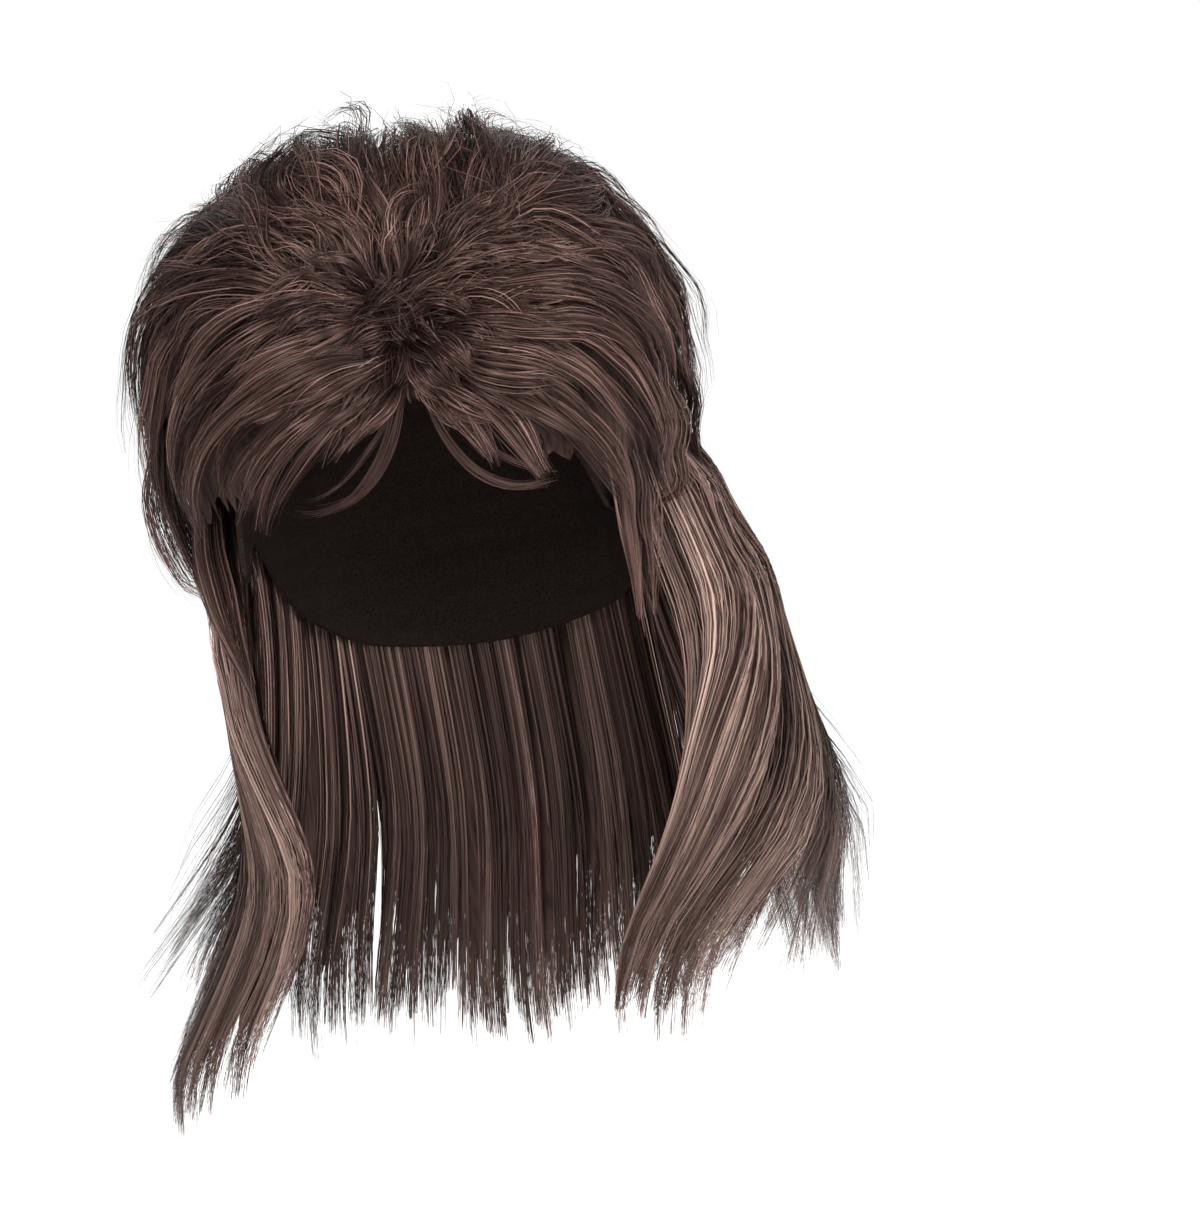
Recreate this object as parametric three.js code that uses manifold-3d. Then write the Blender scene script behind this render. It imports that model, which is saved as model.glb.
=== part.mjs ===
// A mullet wig as it sits on a head: a thin stretch cap, a high teased crown, a parted fringe, feathered
// sides over the ears, a pointed lock before each ear, and long straight hair that hangs from behind the
// ears and the nape. Millimetres, +Z up, -Y is the face, +X the wearer's left. The origin is the inside
// top of the cap, where the crown of the head bears.
import * as THREE from "three";
import { mergeVertices } from "three/addons/utils/BufferGeometryUtils.js";
import Module from "manifold-3d";

// The head that the cap fits.
const HEAD_WIDTH = 156;
const HEAD_LENGTH = 196;
const HEAD_TOP = 100; // from the head's widest level up to its top
const HEAD_ROUND = 2.4; // 2 is an ellipsoid, more is boxier

// The cap.
const CAP_WALL = 1.8;
const CAP_DEPTH = 150; // from the top down to the rim at the nape
const BAND_HEIGHT = 11; // the elastic band round the rim
const BAND_WALL = 2.2;

// The short hair on the cap.
const HAIR_RISE = 60; // above the inside top of the cap
const HAIR_WIDTH = 222;
const HAIR_FRONT = 103; // forwards from the head's axis
const HAIR_BACK = 138; // backwards from the head's axis
const HAIR_WIDEST = 45; // the level of its greatest width, below the origin
const HAIR_ROUND = 2.25;
const HEM_PILE = 30; // how thick it is at its hem, over the ears
const HEM_DROP = 11; // how far its outer locks hang below the hair under them
const LOCK_RELIEF = 7;
const PART_RELIEF = 9; // how deep the parting and the whorl above it sink

// The long hair.
const TAIL_REACH = 322; // from the origin down to the longest tips
const TAIL_PILE = 36;
const TIP_PILE = 3;
const CURTAIN_LEFT = 123; // where its inside hangs, from the head's axis
const CURTAIN_RIGHT = 97;
const CURTAIN_FRONT = 52;
const CURTAIN_BACK = 100;
const CURTAIN_LEVEL = 300; // the level, below the origin, where it hangs that wide
const TAIL_SWEEP = 43; // how far the tips on the wearer's right swing outwards
const TAIL_FORWARD = 14; // and towards the chest
const TAIL_RELIEF = 2.4;
const TIP_NOTCH = 24;
const ROOT_SHARE = 0.85; // its pile under the short hair's hem, as a share of the hem's

// The lock before each ear, and the wisps on the forehead.
const BURN_REACH = 150;
const BURN_PILE = 7;
const BURN_TIP_PILE = 1.5;
const BURN_NOTCH = 9; // how much shorter its edges are than its middle
const WISP_WIDTH = 4.2;
const WISP_PILE = 2.4;

const SEAT_GAP = 0.7; // under a piece that lies on the cap
const PIECE_GAP = 0.5; // between neighbouring pieces
const HEM_GAP = 0.9; // under the short hair's hem

const PART_AZIMUTH = 11; // degrees round from the face, towards the wearer's left
const FRINGE_END = 58;
const SIDE_END = 138;
const TAIL_SPLIT = 144;
const BURN_START = 60;
const BURN_END = 80;
const BURN_LEAN = 5; // how far its tip leans towards the face

// Heights round the head. Drops are shares of CAP_DEPTH, azimuths degrees from the face towards the
// wearer's left.
const CAP_RIM = [
  { azimuth: -180, drop: 1 },
  { azimuth: -150, drop: 0.96 },
  { azimuth: -114, drop: 0.78 },
  { azimuth: -90, drop: 0.58 },
  { azimuth: -68, drop: 0.7 },
  { azimuth: -52, drop: 0.5 },
  { azimuth: -30, drop: 0.31 },
  { azimuth: 6, drop: 0.2 },
  { azimuth: 30, drop: 0.31 },
  { azimuth: 52, drop: 0.5 },
  { azimuth: 68, drop: 0.7 },
  { azimuth: 90, drop: 0.58 },
  { azimuth: 114, drop: 0.78 },
  { azimuth: 150, drop: 0.96 },
  { azimuth: 180, drop: 1 },
];
const CROWN_EDGE = [
  { azimuth: -180, drop: 0.43 },
  { azimuth: -138, drop: 0.43 },
  { azimuth: -125, drop: 0.33 },
  { azimuth: -110, drop: 0.22 },
  { azimuth: -90, drop: 0.13 },
  { azimuth: -45, drop: 0.05 },
  { azimuth: 45, drop: 0.05 },
  { azimuth: 90, drop: 0.13 },
  { azimuth: 110, drop: 0.22 },
  { azimuth: 125, drop: 0.33 },
  { azimuth: 138, drop: 0.43 },
  { azimuth: 180, drop: 0.43 },
];
// The hem of the short hair, which rises in a narrow arch at the parting. Pile is a share of HEM_PILE.
const SHORT_HEM = [
  { azimuth: -180, drop: 0.445, pile: 1.15 },
  { azimuth: -138, drop: 0.445, pile: 1.15 },
  { azimuth: -118, drop: 0.57, pile: 1.05 },
  { azimuth: -100, drop: 0.65, pile: 0.95 },
  { azimuth: -80, drop: 0.66, pile: 0.8 },
  { azimuth: -58, drop: 0.6, pile: 0.55 },
  { azimuth: -33, drop: 0.53, pile: 0.4 },
  { azimuth: -18, drop: 0.44, pile: 0.35 },
  { azimuth: 0, drop: 0.32, pile: 0.3 },
  { azimuth: 10, drop: 0.25, pile: 0.3 },
  { azimuth: 18, drop: 0.39, pile: 0.3 },
  { azimuth: 27, drop: 0.48, pile: 0.35 },
  { azimuth: 40, drop: 0.57, pile: 0.4 },
  { azimuth: 58, drop: 0.63, pile: 0.55 },
  { azimuth: 80, drop: 0.67, pile: 0.8 },
  { azimuth: 100, drop: 0.65, pile: 0.95 },
  { azimuth: 118, drop: 0.57, pile: 1.05 },
  { azimuth: 138, drop: 0.445, pile: 1.15 },
  { azimuth: 180, drop: 0.445, pile: 1.15 },
];
// Tufts that stand out of the teased crown. Lift is a share of LOCK_RELIEF.
const TUFTS = [
  { azimuth: -60, elevation: 72, spread: 15, lift: 0.9 },
  { azimuth: -15, elevation: 70, spread: 12, lift: 0.8 },
  { azimuth: 40, elevation: 66, spread: 13, lift: 1.0 },
  { azimuth: 75, elevation: 50, spread: 13, lift: 0.9 },
  { azimuth: -85, elevation: 42, spread: 14, lift: 0.7 },
  { azimuth: 150, elevation: 58, spread: 18, lift: 0.8 },
  { azimuth: -140, elevation: 45, spread: 18, lift: 0.8 },
];
// The long hair down its length. Level is a share of TAIL_REACH, pile of TAIL_PILE, swing of the swing
// of the tips, and left and right are the azimuths of its foremost edges, both counted from the face.
const TAIL_SECTIONS = [
  { level: 0, pile: 1, swing: 0, left: 88, right: 88 },
  { level: 0.34, pile: 1, swing: 0, left: 88, right: 88 },
  { level: 0.45, pile: 0.88, swing: 0, left: 83, right: 78 },
  { level: 0.56, pile: 0.74, swing: 0, left: 67, right: 60 },
  { level: 0.68, pile: 0.62, swing: 0.05, left: 58, right: 48 },
  { level: 0.8, pile: 0.5, swing: 0.42, left: 47, right: 46 },
  { level: 0.92, pile: 0.34, swing: 0.95, left: 33, right: 46 },
  { level: 1, pile: 0.25, swing: 1.1, left: 30, right: 46 },
];
// The long hair round the neck. Tip is its length there as a share of TAIL_REACH, swing its share of
// the swing of the tips, and pile of the pile at its level.
const TAIL_ROUND = [
  { azimuth: -180, tip: 1, swing: 0.3, pile: 0.85 },
  { azimuth: -140, tip: 0.97, swing: 0.7, pile: 0.75 },
  { azimuth: -105, tip: 0.87, swing: 1.4, pile: 0.55 },
  { azimuth: -75, tip: 1, swing: 1.25, pile: 0.5 },
  { azimuth: -46, tip: 0.93, swing: 1.6, pile: 0.5 },
  { azimuth: 30, tip: 0.94, swing: 0, pile: 0.6 },
  { azimuth: 60, tip: 0.96, swing: 0, pile: 0.8 },
  { azimuth: 95, tip: 0.93, swing: 0, pile: 1.15 },
  { azimuth: 140, tip: 0.96, swing: 0.1, pile: 1 },
  { azimuth: 180, tip: 1, swing: 0.3, pile: 0.85 },
];
// The wisps lie on the forehead. Drop is a share of CAP_DEPTH, stand how far off the skin it lies.
const WISPS = {
  right: [
    { azimuth: 8, drop: 0.24, stand: 5 },
    { azimuth: 7, drop: 0.3, stand: 4 },
    { azimuth: 3, drop: 0.38, stand: 4 },
    { azimuth: -2, drop: 0.45, stand: 5 },
    { azimuth: -9, drop: 0.51, stand: 5 },
    { azimuth: -20, drop: 0.535, stand: 5 },
    { azimuth: -29, drop: 0.515, stand: 6 },
  ],
  left: [
    { azimuth: 14, drop: 0.24, stand: 5 },
    { azimuth: 14, drop: 0.3, stand: 4 },
    { azimuth: 16, drop: 0.41, stand: 4 },
    { azimuth: 22, drop: 0.5, stand: 5 },
    { azimuth: 30, drop: 0.55, stand: 5 },
    { azimuth: 38, drop: 0.58, stand: 6 },
  ],
};

const TURN = 360;
const DEGREE = (2 * Math.PI) / TURN;
const TOP = 90; // the latitude of the top of a body
const TINY = 1e-6; // corners nearer than this are the same
const MERGE = 1e-4;
const mix = (a, b, t) => a + (b - a) * t;
const clamp01 = (t) => Math.min(1, Math.max(0, t));
const ease = (t) => clamp01(t) ** 2 * (3 - 2 * clamp01(t));

// Reads a column of a table at x, which runs along the key column, with no overshoot between rows.
function readTable(rows, key, x, column) {
  const last = rows.length - 1;
  if (x <= rows[0][key]) return rows[0][column];
  if (x >= rows[last][key]) return rows[last][column];
  const k = rows.findIndex((row) => row[key] > x) - 1;
  const slope = (i) => (rows[i + 1][column] - rows[i][column]) / (rows[i + 1][key] - rows[i][key]);
  const bend = (i) => {
    if (i === 0 || i === last) return 0;
    const before = slope(i - 1);
    const after = slope(i);
    return before * after <= 0 ? 0 : (2 * before * after) / (before + after);
  };
  const span = rows[k + 1][key] - rows[k][key];
  const t = (x - rows[k][key]) / span;
  const a = rows[k][column];
  const b = rows[k + 1][column];
  return (
    a * (1 + 2 * t) * (1 - t) ** 2 +
    b * t * t * (3 - 2 * t) +
    span * t * (1 - t) * (bend(k) * (1 - t) - bend(k + 1) * t)
  );
}

// The smallest turn, in degrees, that brings an azimuth into -180 to 180.
const wrapped = (azimuth) => ((((azimuth + TURN / 2) % TURN) + TURN) % TURN) - TURN / 2;
const roundHead = (table, azimuth, column) => readTable(table, "azimuth", wrapped(azimuth), column);
const heightAt = (table, azimuth) => -CAP_DEPTH * roundHead(table, azimuth, "drop");

// A rounded body about the head's upright axis: the height of its middle, how far it reaches from there
// to the sides, the front, the back and the top, and how boxy it is.
const headBody = (offset) => ({
  middle: -HEAD_TOP,
  side: HEAD_WIDTH / 2 + offset,
  front: HEAD_LENGTH / 2 + offset,
  back: HEAD_LENGTH / 2 + offset,
  rise: HEAD_TOP + offset,
  power: HEAD_ROUND,
});
const hairBody = {
  middle: -HAIR_WIDEST,
  side: HAIR_WIDTH / 2,
  front: HAIR_FRONT,
  back: HAIR_BACK,
  rise: HAIR_RISE + HAIR_WIDEST,
  power: HAIR_ROUND,
};

// The level direction at an azimuth.
const sideways = (azimuth) =>
  new THREE.Vector3(Math.sin(azimuth * DEGREE), -Math.cos(azimuth * DEGREE), 0);

// How far a body reaches from its axis at an azimuth, at its widest level.
function planReach(body, azimuth) {
  const way = sideways(azimuth);
  const across = Math.abs(way.x) / body.side;
  const along = Math.abs(way.y) / (way.y < 0 ? body.front : body.back);
  return (across ** body.power + along ** body.power) ** (-1 / body.power);
}

// The latitude, 90 at the top, at which a body's surface has a given height.
function latitudeAt(body, height) {
  const share = (height - body.middle) / body.rise;
  const sine = Math.sign(share) * Math.min(1, Math.abs(share)) ** (body.power / 2);
  return Math.asin(sine) / DEGREE;
}

const levelAt = (body, latitude) => Math.abs(Math.cos(latitude * DEGREE)) ** (2 / body.power);

function pointOn(body, azimuth, latitude) {
  const sine = Math.sin(latitude * DEGREE);
  const point = sideways(azimuth).multiplyScalar(planReach(body, azimuth) * levelAt(body, latitude));
  point.z = body.middle + body.rise * Math.sign(sine) * Math.abs(sine) ** (2 / body.power);
  return point;
}

// The way out of a body at a point, in the upright plane of the point's own azimuth.
function outwards(body, azimuth, point) {
  const reach = Math.hypot(point.x, point.y) / planReach(body, azimuth) ** 2;
  const height = (point.z - body.middle) / body.rise ** 2;
  const way = sideways(azimuth).multiplyScalar(reach);
  way.z = height;
  return way.normalize();
}

// The whorl above the parting, from which all the short hair spreads.
const hairMiddle = new THREE.Vector3(0, 0, hairBody.middle);
const WHORL = pointOn(hairBody, PART_AZIMUTH, latitudeAt(hairBody, 0)).sub(hairMiddle).normalize();
const WHORL_UP = new THREE.Vector3(0, 0, 1).projectOnPlane(WHORL).normalize();
const WHORL_SIDE = new THREE.Vector3().crossVectors(WHORL, WHORL_UP);
const LOCKS_ROUND_WHORL = 15;
const LOCK_TWIST = 1.1; // how far the locks wind to and fro, in locks
const LOCK_WINDS = 2.2; // and how often, for each half turn away from the whorl
const LOCK_CREST = 0.8; // under 1 the locks' backs are broad and the grooves between them narrow
const LOCK_MEAN = 0.62; // the pattern's mean height, which the body's own surface stands for
const LOCKS_FROM = 8; // degrees from the whorl at which the locks begin to stand out
const LOCKS_FULL = 48; // and at which they stand out in full
const WHORL_SPREAD = 13;
const PARTING_SPREAD = 9;
const PARTING_FADE = 0.1; // how softly the parting ends at the whorl

// How far the hair's surface stands out of, or sinks into, its plain body at a point.
function relief(point) {
  const way = point.clone().sub(hairMiddle).normalize();
  const from = way.angleTo(WHORL) / DEGREE;
  const round = Math.atan2(way.dot(WHORL_SIDE), way.dot(WHORL_UP)) / (2 * Math.PI);
  const lock = LOCKS_ROUND_WHORL * round + LOCK_TWIST * Math.sin(from * DEGREE * LOCK_WINDS);
  const ridge = Math.abs(Math.sin(Math.PI * lock)) ** LOCK_CREST - LOCK_MEAN;
  let lift = LOCK_RELIEF * ridge * ease((from - LOCKS_FROM) / (LOCKS_FULL - LOCKS_FROM));
  for (const tuft of TUFTS) {
    const middle = new THREE.Vector3().setFromSphericalCoords(
      1,
      (TOP - tuft.elevation) * DEGREE,
      tuft.azimuth * DEGREE,
    );
    const axis = new THREE.Vector3(middle.x, -middle.z, middle.y);
    const apart = way.angleTo(axis) / DEGREE / tuft.spread;
    lift += LOCK_RELIEF * tuft.lift * Math.exp(-apart * apart);
  }
  const azimuth = Math.atan2(way.x, -way.y) / DEGREE - PART_AZIMUTH;
  const below = ease((WHORL.z - way.z) / PARTING_FADE + 0.5);
  const parting = below * Math.exp(-((azimuth / PARTING_SPREAD) ** 2));
  const whorl = Math.exp(-((from / WHORL_SPREAD) ** 2));
  return lift - PART_RELIEF * Math.max(parting, whorl);
}

// A wall between two sheets of points, given as rows from the top down of points in order of azimuth.
// Where the rows run all the way round, the last point of each joins its first.
function wallBetween(outer, inner, allRound) {
  const rows = outer.length - 1;
  const columns = outer[0].length;
  const steps = allRound ? columns : columns - 1;
  const position = [];
  const put = (...corners) => {
    for (const corner of corners) position.push(corner.x, corner.y, corner.z);
  };
  const apart = (a, b) => a.distanceTo(b) > TINY;
  const quad = (a, b, c, d) => {
    if (apart(a, b) && apart(b, c) && apart(c, a)) put(a, b, c);
    if (apart(a, c) && apart(c, d) && apart(d, a)) put(a, c, d);
  };
  for (let j = 0; j < steps; j++) {
    const k = (j + 1) % columns;
    for (let i = 0; i < rows; i++) {
      quad(outer[i][j], outer[i + 1][j], outer[i + 1][k], outer[i][k]);
      quad(inner[i][j], inner[i][k], inner[i + 1][k], inner[i + 1][j]);
    }
    // Both end faces are split along the same diagonal, so that neighbours fit each other.
    if (!allRound) quad(outer[0][k], inner[0][k], inner[0][j], outer[0][j]);
    quad(outer[rows][k], outer[rows][j], inner[rows][j], inner[rows][k]);
  }
  if (!allRound) {
    const end = columns - 1;
    for (let i = 0; i < rows; i++) {
      quad(outer[i + 1][0], outer[i][0], inner[i][0], inner[i + 1][0]);
      quad(outer[i][end], outer[i + 1][end], inner[i + 1][end], inner[i][end]);
    }
  }
  const soup = new THREE.BufferGeometry();
  soup.setAttribute("position", new THREE.Float32BufferAttribute(position, 3));
  return mergeVertices(soup, MERGE);
}

const sheet = (rows, columns, point) =>
  Array.from({ length: rows + 1 }, (_, i) => Array.from({ length: columns }, (_, j) => point(i, j)));

// The cap: a dome of even wall with a thicker band along its rim.
function capGeometry() {
  const columns = 40;
  const netRows = 7;
  const inside = headBody(0);
  const azimuth = (j) => (TURN * j) / columns;
  const latitude = (i, j) => {
    const rim = heightAt(CAP_RIM, azimuth(j));
    const bandTop = latitudeAt(inside, rim + BAND_HEIGHT);
    return i <= netRows ? mix(TOP, bandTop, i / netRows) : latitudeAt(inside, rim);
  };
  const wall = (i) => (i < netRows ? CAP_WALL : BAND_WALL);
  return wallBetween(
    sheet(netRows + 1, columns, (i, j) => pointOn(headBody(wall(i)), azimuth(j), latitude(i, j))),
    sheet(netRows + 1, columns, (i, j) => pointOn(inside, azimuth(j), latitude(i, j))),
    true,
  );
}

// The surface that hair lies on, clear of the cap and its band.
const seatBody = headBody(BAND_WALL + SEAT_GAP);

// Every second column is the middle of a lock, and hangs lower at its end than the grooves do.
const GROOVE_SHARE = 0.25;
const lockShare = (j, locks) => (j % 2 === 0 ? GROOVE_SHARE : locks[((j - 1) / 2) % locks.length]);

const hemPile = (azimuth) => HEM_PILE * roundHead(SHORT_HEM, azimuth, "pile");

// A point of the short hair's outer sheet. It comes in to the hem's own pile as share goes to 1.
const HEM_FROM = 0.55; // the share of the way down at which it begins to come in
function shortHairPoint(azimuth, outerLatitude, innerPoint, share) {
  const plain = pointOn(hairBody, azimuth, outerLatitude);
  const normal = outwards(hairBody, azimuth, plain);
  normal.z *= 1 - share;
  const standing = plain.clone().addScaledVector(normal, relief(plain));
  const level = sideways(azimuth);
  const pile = standing.clone().sub(innerPoint).dot(level);
  const thinned = (hemPile(azimuth) - pile) * ease((share - HEM_FROM) / (1 - HEM_FROM)) ** 2;
  return standing.addScaledVector(level, thinned);
}

// Evenly spaced azimuths from one seam to the next, clear of both.
function columnsBetween(start, end, count) {
  const gap = PIECE_GAP / HEAD_WIDTH / DEGREE;
  return Array.from({ length: count }, (_, j) => mix(start + gap, end - gap, j / (count - 1)));
}

// The stretches of short hair under the crown. The crown has the same columns, so that its edge fits theirs.
const STRETCHES = {
  fringe_left: columnsBetween(PART_AZIMUTH, FRINGE_END, 13),
  side_left: columnsBetween(FRINGE_END, SIDE_END, 17),
  back: columnsBetween(SIDE_END, TURN - SIDE_END, 15),
  side_right: columnsBetween(TURN - SIDE_END, TURN - FRINGE_END, 17),
  fringe_right: columnsBetween(TURN - FRINGE_END, TURN + PART_AZIMUTH, 13),
};

const crownEdge = (azimuth) => heightAt(CROWN_EDGE, azimuth);
const shortHem = (azimuth) => heightAt(SHORT_HEM, azimuth);

// A stretch of short hair from under the crown down to its hem, in locks that hang by their own shares.
function shortHair(columns, locks) {
  const rows = 7;
  const inner = sheet(rows, columns.length, (i, j) => {
    const high = latitudeAt(seatBody, crownEdge(columns[j]) - PIECE_GAP);
    const low = latitudeAt(seatBody, shortHem(columns[j]));
    return pointOn(seatBody, columns[j], mix(high, low, i / rows));
  });
  const outer = sheet(rows, columns.length, (i, j) => {
    const high = latitudeAt(hairBody, crownEdge(columns[j]));
    const low = latitudeAt(hairBody, shortHem(columns[j]) - HEM_DROP * lockShare(j, locks));
    return shortHairPoint(columns[j], mix(high, low, i / rows), inner[i][j], i / rows);
  });
  // The first row outside is the crown's own edge, lowered by the gap.
  for (const point of outer[0]) point.z -= PIECE_GAP;
  return wallBetween(outer, inner, false);
}

// Only the back of the crown has a free hem. Elsewhere it meets the hair of the sides and the fringe.
const BACK_HEM_FADE = 12; // degrees over which that hem begins, past the sides
const BACK_LOCKS = [0.9, 0.6, 1];

function crownGeometry() {
  const azimuths = Object.values(STRETCHES).flat();
  const columns = azimuths.length;
  const rows = 11;
  const azimuth = (j) => azimuths[j];
  const atBack = (j) => ease((Math.abs(wrapped(azimuth(j))) - SIDE_END) / BACK_HEM_FADE);
  const hang = (j) => HEM_DROP * lockShare(j, BACK_LOCKS) * atBack(j);
  const innerLatitude = (i, j) => mix(TOP, latitudeAt(seatBody, crownEdge(azimuth(j))), i / rows);
  const outerLatitude = (i, j) =>
    mix(TOP, latitudeAt(hairBody, crownEdge(azimuth(j)) - hang(j)), i / rows);
  const inner = sheet(rows, columns, (i, j) => pointOn(seatBody, azimuth(j), innerLatitude(i, j)));
  const outer = sheet(rows, columns, (i, j) =>
    shortHairPoint(azimuth(j), outerLatitude(i, j), inner[i][j], (i / rows) * atBack(j)),
  );
  return wallBetween(outer, inner, true);
}

// A closed tapering lock along points, wide across the way out of the head and thin along it.
const LOCK_END = 0.25; // the size of its tip, as a share of its root's
function lockAlong(points, outs, width, pile) {
  const curve = new THREE.CatmullRomCurve3(points);
  const out = new THREE.CatmullRomCurve3(outs);
  const sides = 6;
  const rings = 12;
  const ring = (t) => {
    const middle = curve.getPoint(t);
    const forwards = curve.getTangent(t);
    const normal = out.getPoint(t).projectOnPlane(forwards).normalize();
    const across = new THREE.Vector3().crossVectors(forwards, normal);
    const size = mix(1, LOCK_END, t ** 2);
    return Array.from({ length: sides }, (_, k) => {
      const turn = (2 * Math.PI * k) / sides;
      return middle
        .clone()
        .addScaledVector(across, (width / 2) * size * Math.cos(turn))
        .addScaledVector(normal, (pile / 2) * size * Math.sin(turn));
    });
  };
  const position = [];
  const put = (...corners) => corners.forEach((p) => position.push(p.x, p.y, p.z));
  const rows = Array.from({ length: rings + 1 }, (_, i) => ring(i / rings));
  for (let k = 0; k < sides; k++) {
    const next = (k + 1) % sides;
    for (let i = 0; i < rings; i++) {
      put(rows[i][k], rows[i + 1][next], rows[i][next]);
      put(rows[i][k], rows[i + 1][k], rows[i + 1][next]);
    }
    put(curve.getPoint(0), rows[0][k], rows[0][next]);
    put(curve.getPoint(1), rows[rings][next], rows[rings][k]);
  }
  const soup = new THREE.BufferGeometry();
  soup.setAttribute("position", new THREE.Float32BufferAttribute(position, 3));
  return mergeVertices(soup, MERGE);
}

const wasm = await Module();
wasm.setup();

function solidFrom(geometry) {
  return new wasm.Manifold(
    new wasm.Mesh({
      numProp: 3,
      vertProperties: geometry.attributes.position.array,
      triVerts: new Uint32Array(geometry.index.array),
    }),
  );
}

function geometryFrom(solid) {
  const mesh = solid.getMesh();
  const geometry = new THREE.BufferGeometry();
  geometry.setAttribute("position", new THREE.BufferAttribute(mesh.vertProperties, 3));
  geometry.setIndex(new THREE.BufferAttribute(mesh.triVerts, 1));
  return geometry;
}

function wispGeometry(wisp) {
  const skin = headBody(0);
  const surface = wisp.map((row) =>
    pointOn(skin, row.azimuth, latitudeAt(skin, -CAP_DEPTH * row.drop)),
  );
  const outs = surface.map((point, k) => outwards(skin, wisp[k].azimuth, point));
  const points = surface.map((point, k) =>
    point.clone().addScaledVector(outs[k], BAND_WALL + SEAT_GAP + wisp[k].stand),
  );
  return lockAlong(points, outs, WISP_WIDTH, WISP_PILE);
}

const FRINGE_LOCKS = [0.5, 0.9, 0.65, 1];
const SIDE_LOCKS = [0.7, 1, 0.8, 0.95];

// Half of the fringe, with the wisp that falls from it on to the forehead.
function fringeGeometry(word) {
  const sweep = shortHair(STRETCHES[`fringe_${word}`], FRINGE_LOCKS);
  return geometryFrom(solidFrom(sweep).add(solidFrom(wispGeometry(WISPS[word]))));
}

// Where the inside of the long hair hangs at a height: on the cap above, then out to its own width.
function curtainReach(azimuth, height) {
  const seated = planReach(seatBody, azimuth);
  if (height > seatBody.middle) return seated * levelAt(seatBody, latitudeAt(seatBody, height));
  const side = wrapped(azimuth) > 0 ? CURTAIN_LEFT : CURTAIN_RIGHT;
  const hung = { ...seatBody, side, front: CURTAIN_FRONT, back: CURTAIN_BACK };
  const share = (seatBody.middle - height) / (CURTAIN_LEVEL + seatBody.middle);
  return mix(seated, planReach(hung, azimuth), ease(share));
}

const tailSection = (height, column) =>
  readTable(TAIL_SECTIONS, "level", -height / TAIL_REACH, column);

function longHairPoint(azimuth, height, pile) {
  const swing = roundHead(TAIL_ROUND, azimuth, "swing") * tailSection(height, "swing");
  const point = sideways(azimuth).multiplyScalar(curtainReach(azimuth, height) + pile);
  return point.add(new THREE.Vector3(-TAIL_SWEEP * swing, -TAIL_FORWARD * swing, height));
}

// The three panels of long hair, and the azimuths that they run between at a height. The two at the
// sides have a free edge, which runs forwards lower down, and fromFree counts the columns from it.
const TAILS = {
  left: {
    columns: 19,
    start: (height) => tailSection(height, "left"),
    end: () => TAIL_SPLIT,
    fromFree: (j) => j,
  },
  back: {
    columns: 23,
    start: () => TAIL_SPLIT,
    end: () => 360 - TAIL_SPLIT,
    fromFree: () => Infinity,
  },
  right: {
    columns: 19,
    start: () => -TAIL_SPLIT,
    end: (height) => -tailSection(height, "right"),
    fromFree: (j) => TAILS.right.columns - 1 - j,
  },
};
// Shares of TIP_NOTCH by which locks end short, and shares of the pile next to a free edge.
const TIP_SHARES = [0.15, 0.75, 0.3, 0.95, 0.45, 0, 0.6];
const EDGE_PILES = [0.35, 0.75];
const ROOT_END = 0.15; // the share of its length by which the hair has its full pile
const TIP_FROM = 0.75; // and the share from which it thins to its tips

// A hanging panel of long hair, in locks whose ends are cut to points.
function tailGeometry(word) {
  const { columns, start, end, fromFree } = TAILS[word];
  const rows = 13;
  const azimuthAt = (j, height) => columnsBetween(start(height), end(height), columns)[j];
  const hems = Array.from({ length: columns }, (_, j) => {
    const above = shortHem(azimuthAt(j, 0));
    return shortHem(azimuthAt(j, above)) - HEM_GAP;
  });
  const tips = Array.from({ length: columns }, (_, j) => {
    const tip = roundHead(TAIL_ROUND, azimuthAt(j, -TAIL_REACH), "tip");
    const notch = j % 2 === 0 ? 1 : TIP_SHARES[((j - 1) / 2) % TIP_SHARES.length];
    return -TAIL_REACH * tip + TIP_NOTCH * notch;
  });
  const pileAt = (azimuth, height, share, j) => {
    const full = TAIL_PILE * tailSection(height, "pile") * roundHead(TAIL_ROUND, azimuth, "pile");
    const hung = ease(share / ROOT_END);
    const ridge = (j % 2 === 0 ? -1 : 1) * (TAIL_RELIEF / 2) * hung;
    const rooted = mix(ROOT_SHARE * hemPile(azimuth), full, hung) + ridge;
    const thinned = ease((share - TIP_FROM) / (1 - TIP_FROM));
    return mix(rooted, TIP_PILE, thinned) * (EDGE_PILES[fromFree(j)] ?? 1);
  };
  const grid = (isOuter) =>
    sheet(rows, columns, (i, j) => {
      const height = mix(hems[j] - (isOuter ? HEM_DROP : 0), tips[j], i / rows);
      const azimuth = azimuthAt(j, height);
      return longHairPoint(azimuth, height, isOuter ? pileAt(azimuth, height, i / rows, j) : 0);
    });
  return wallBetween(grid(true), grid(false), false);
}

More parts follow.
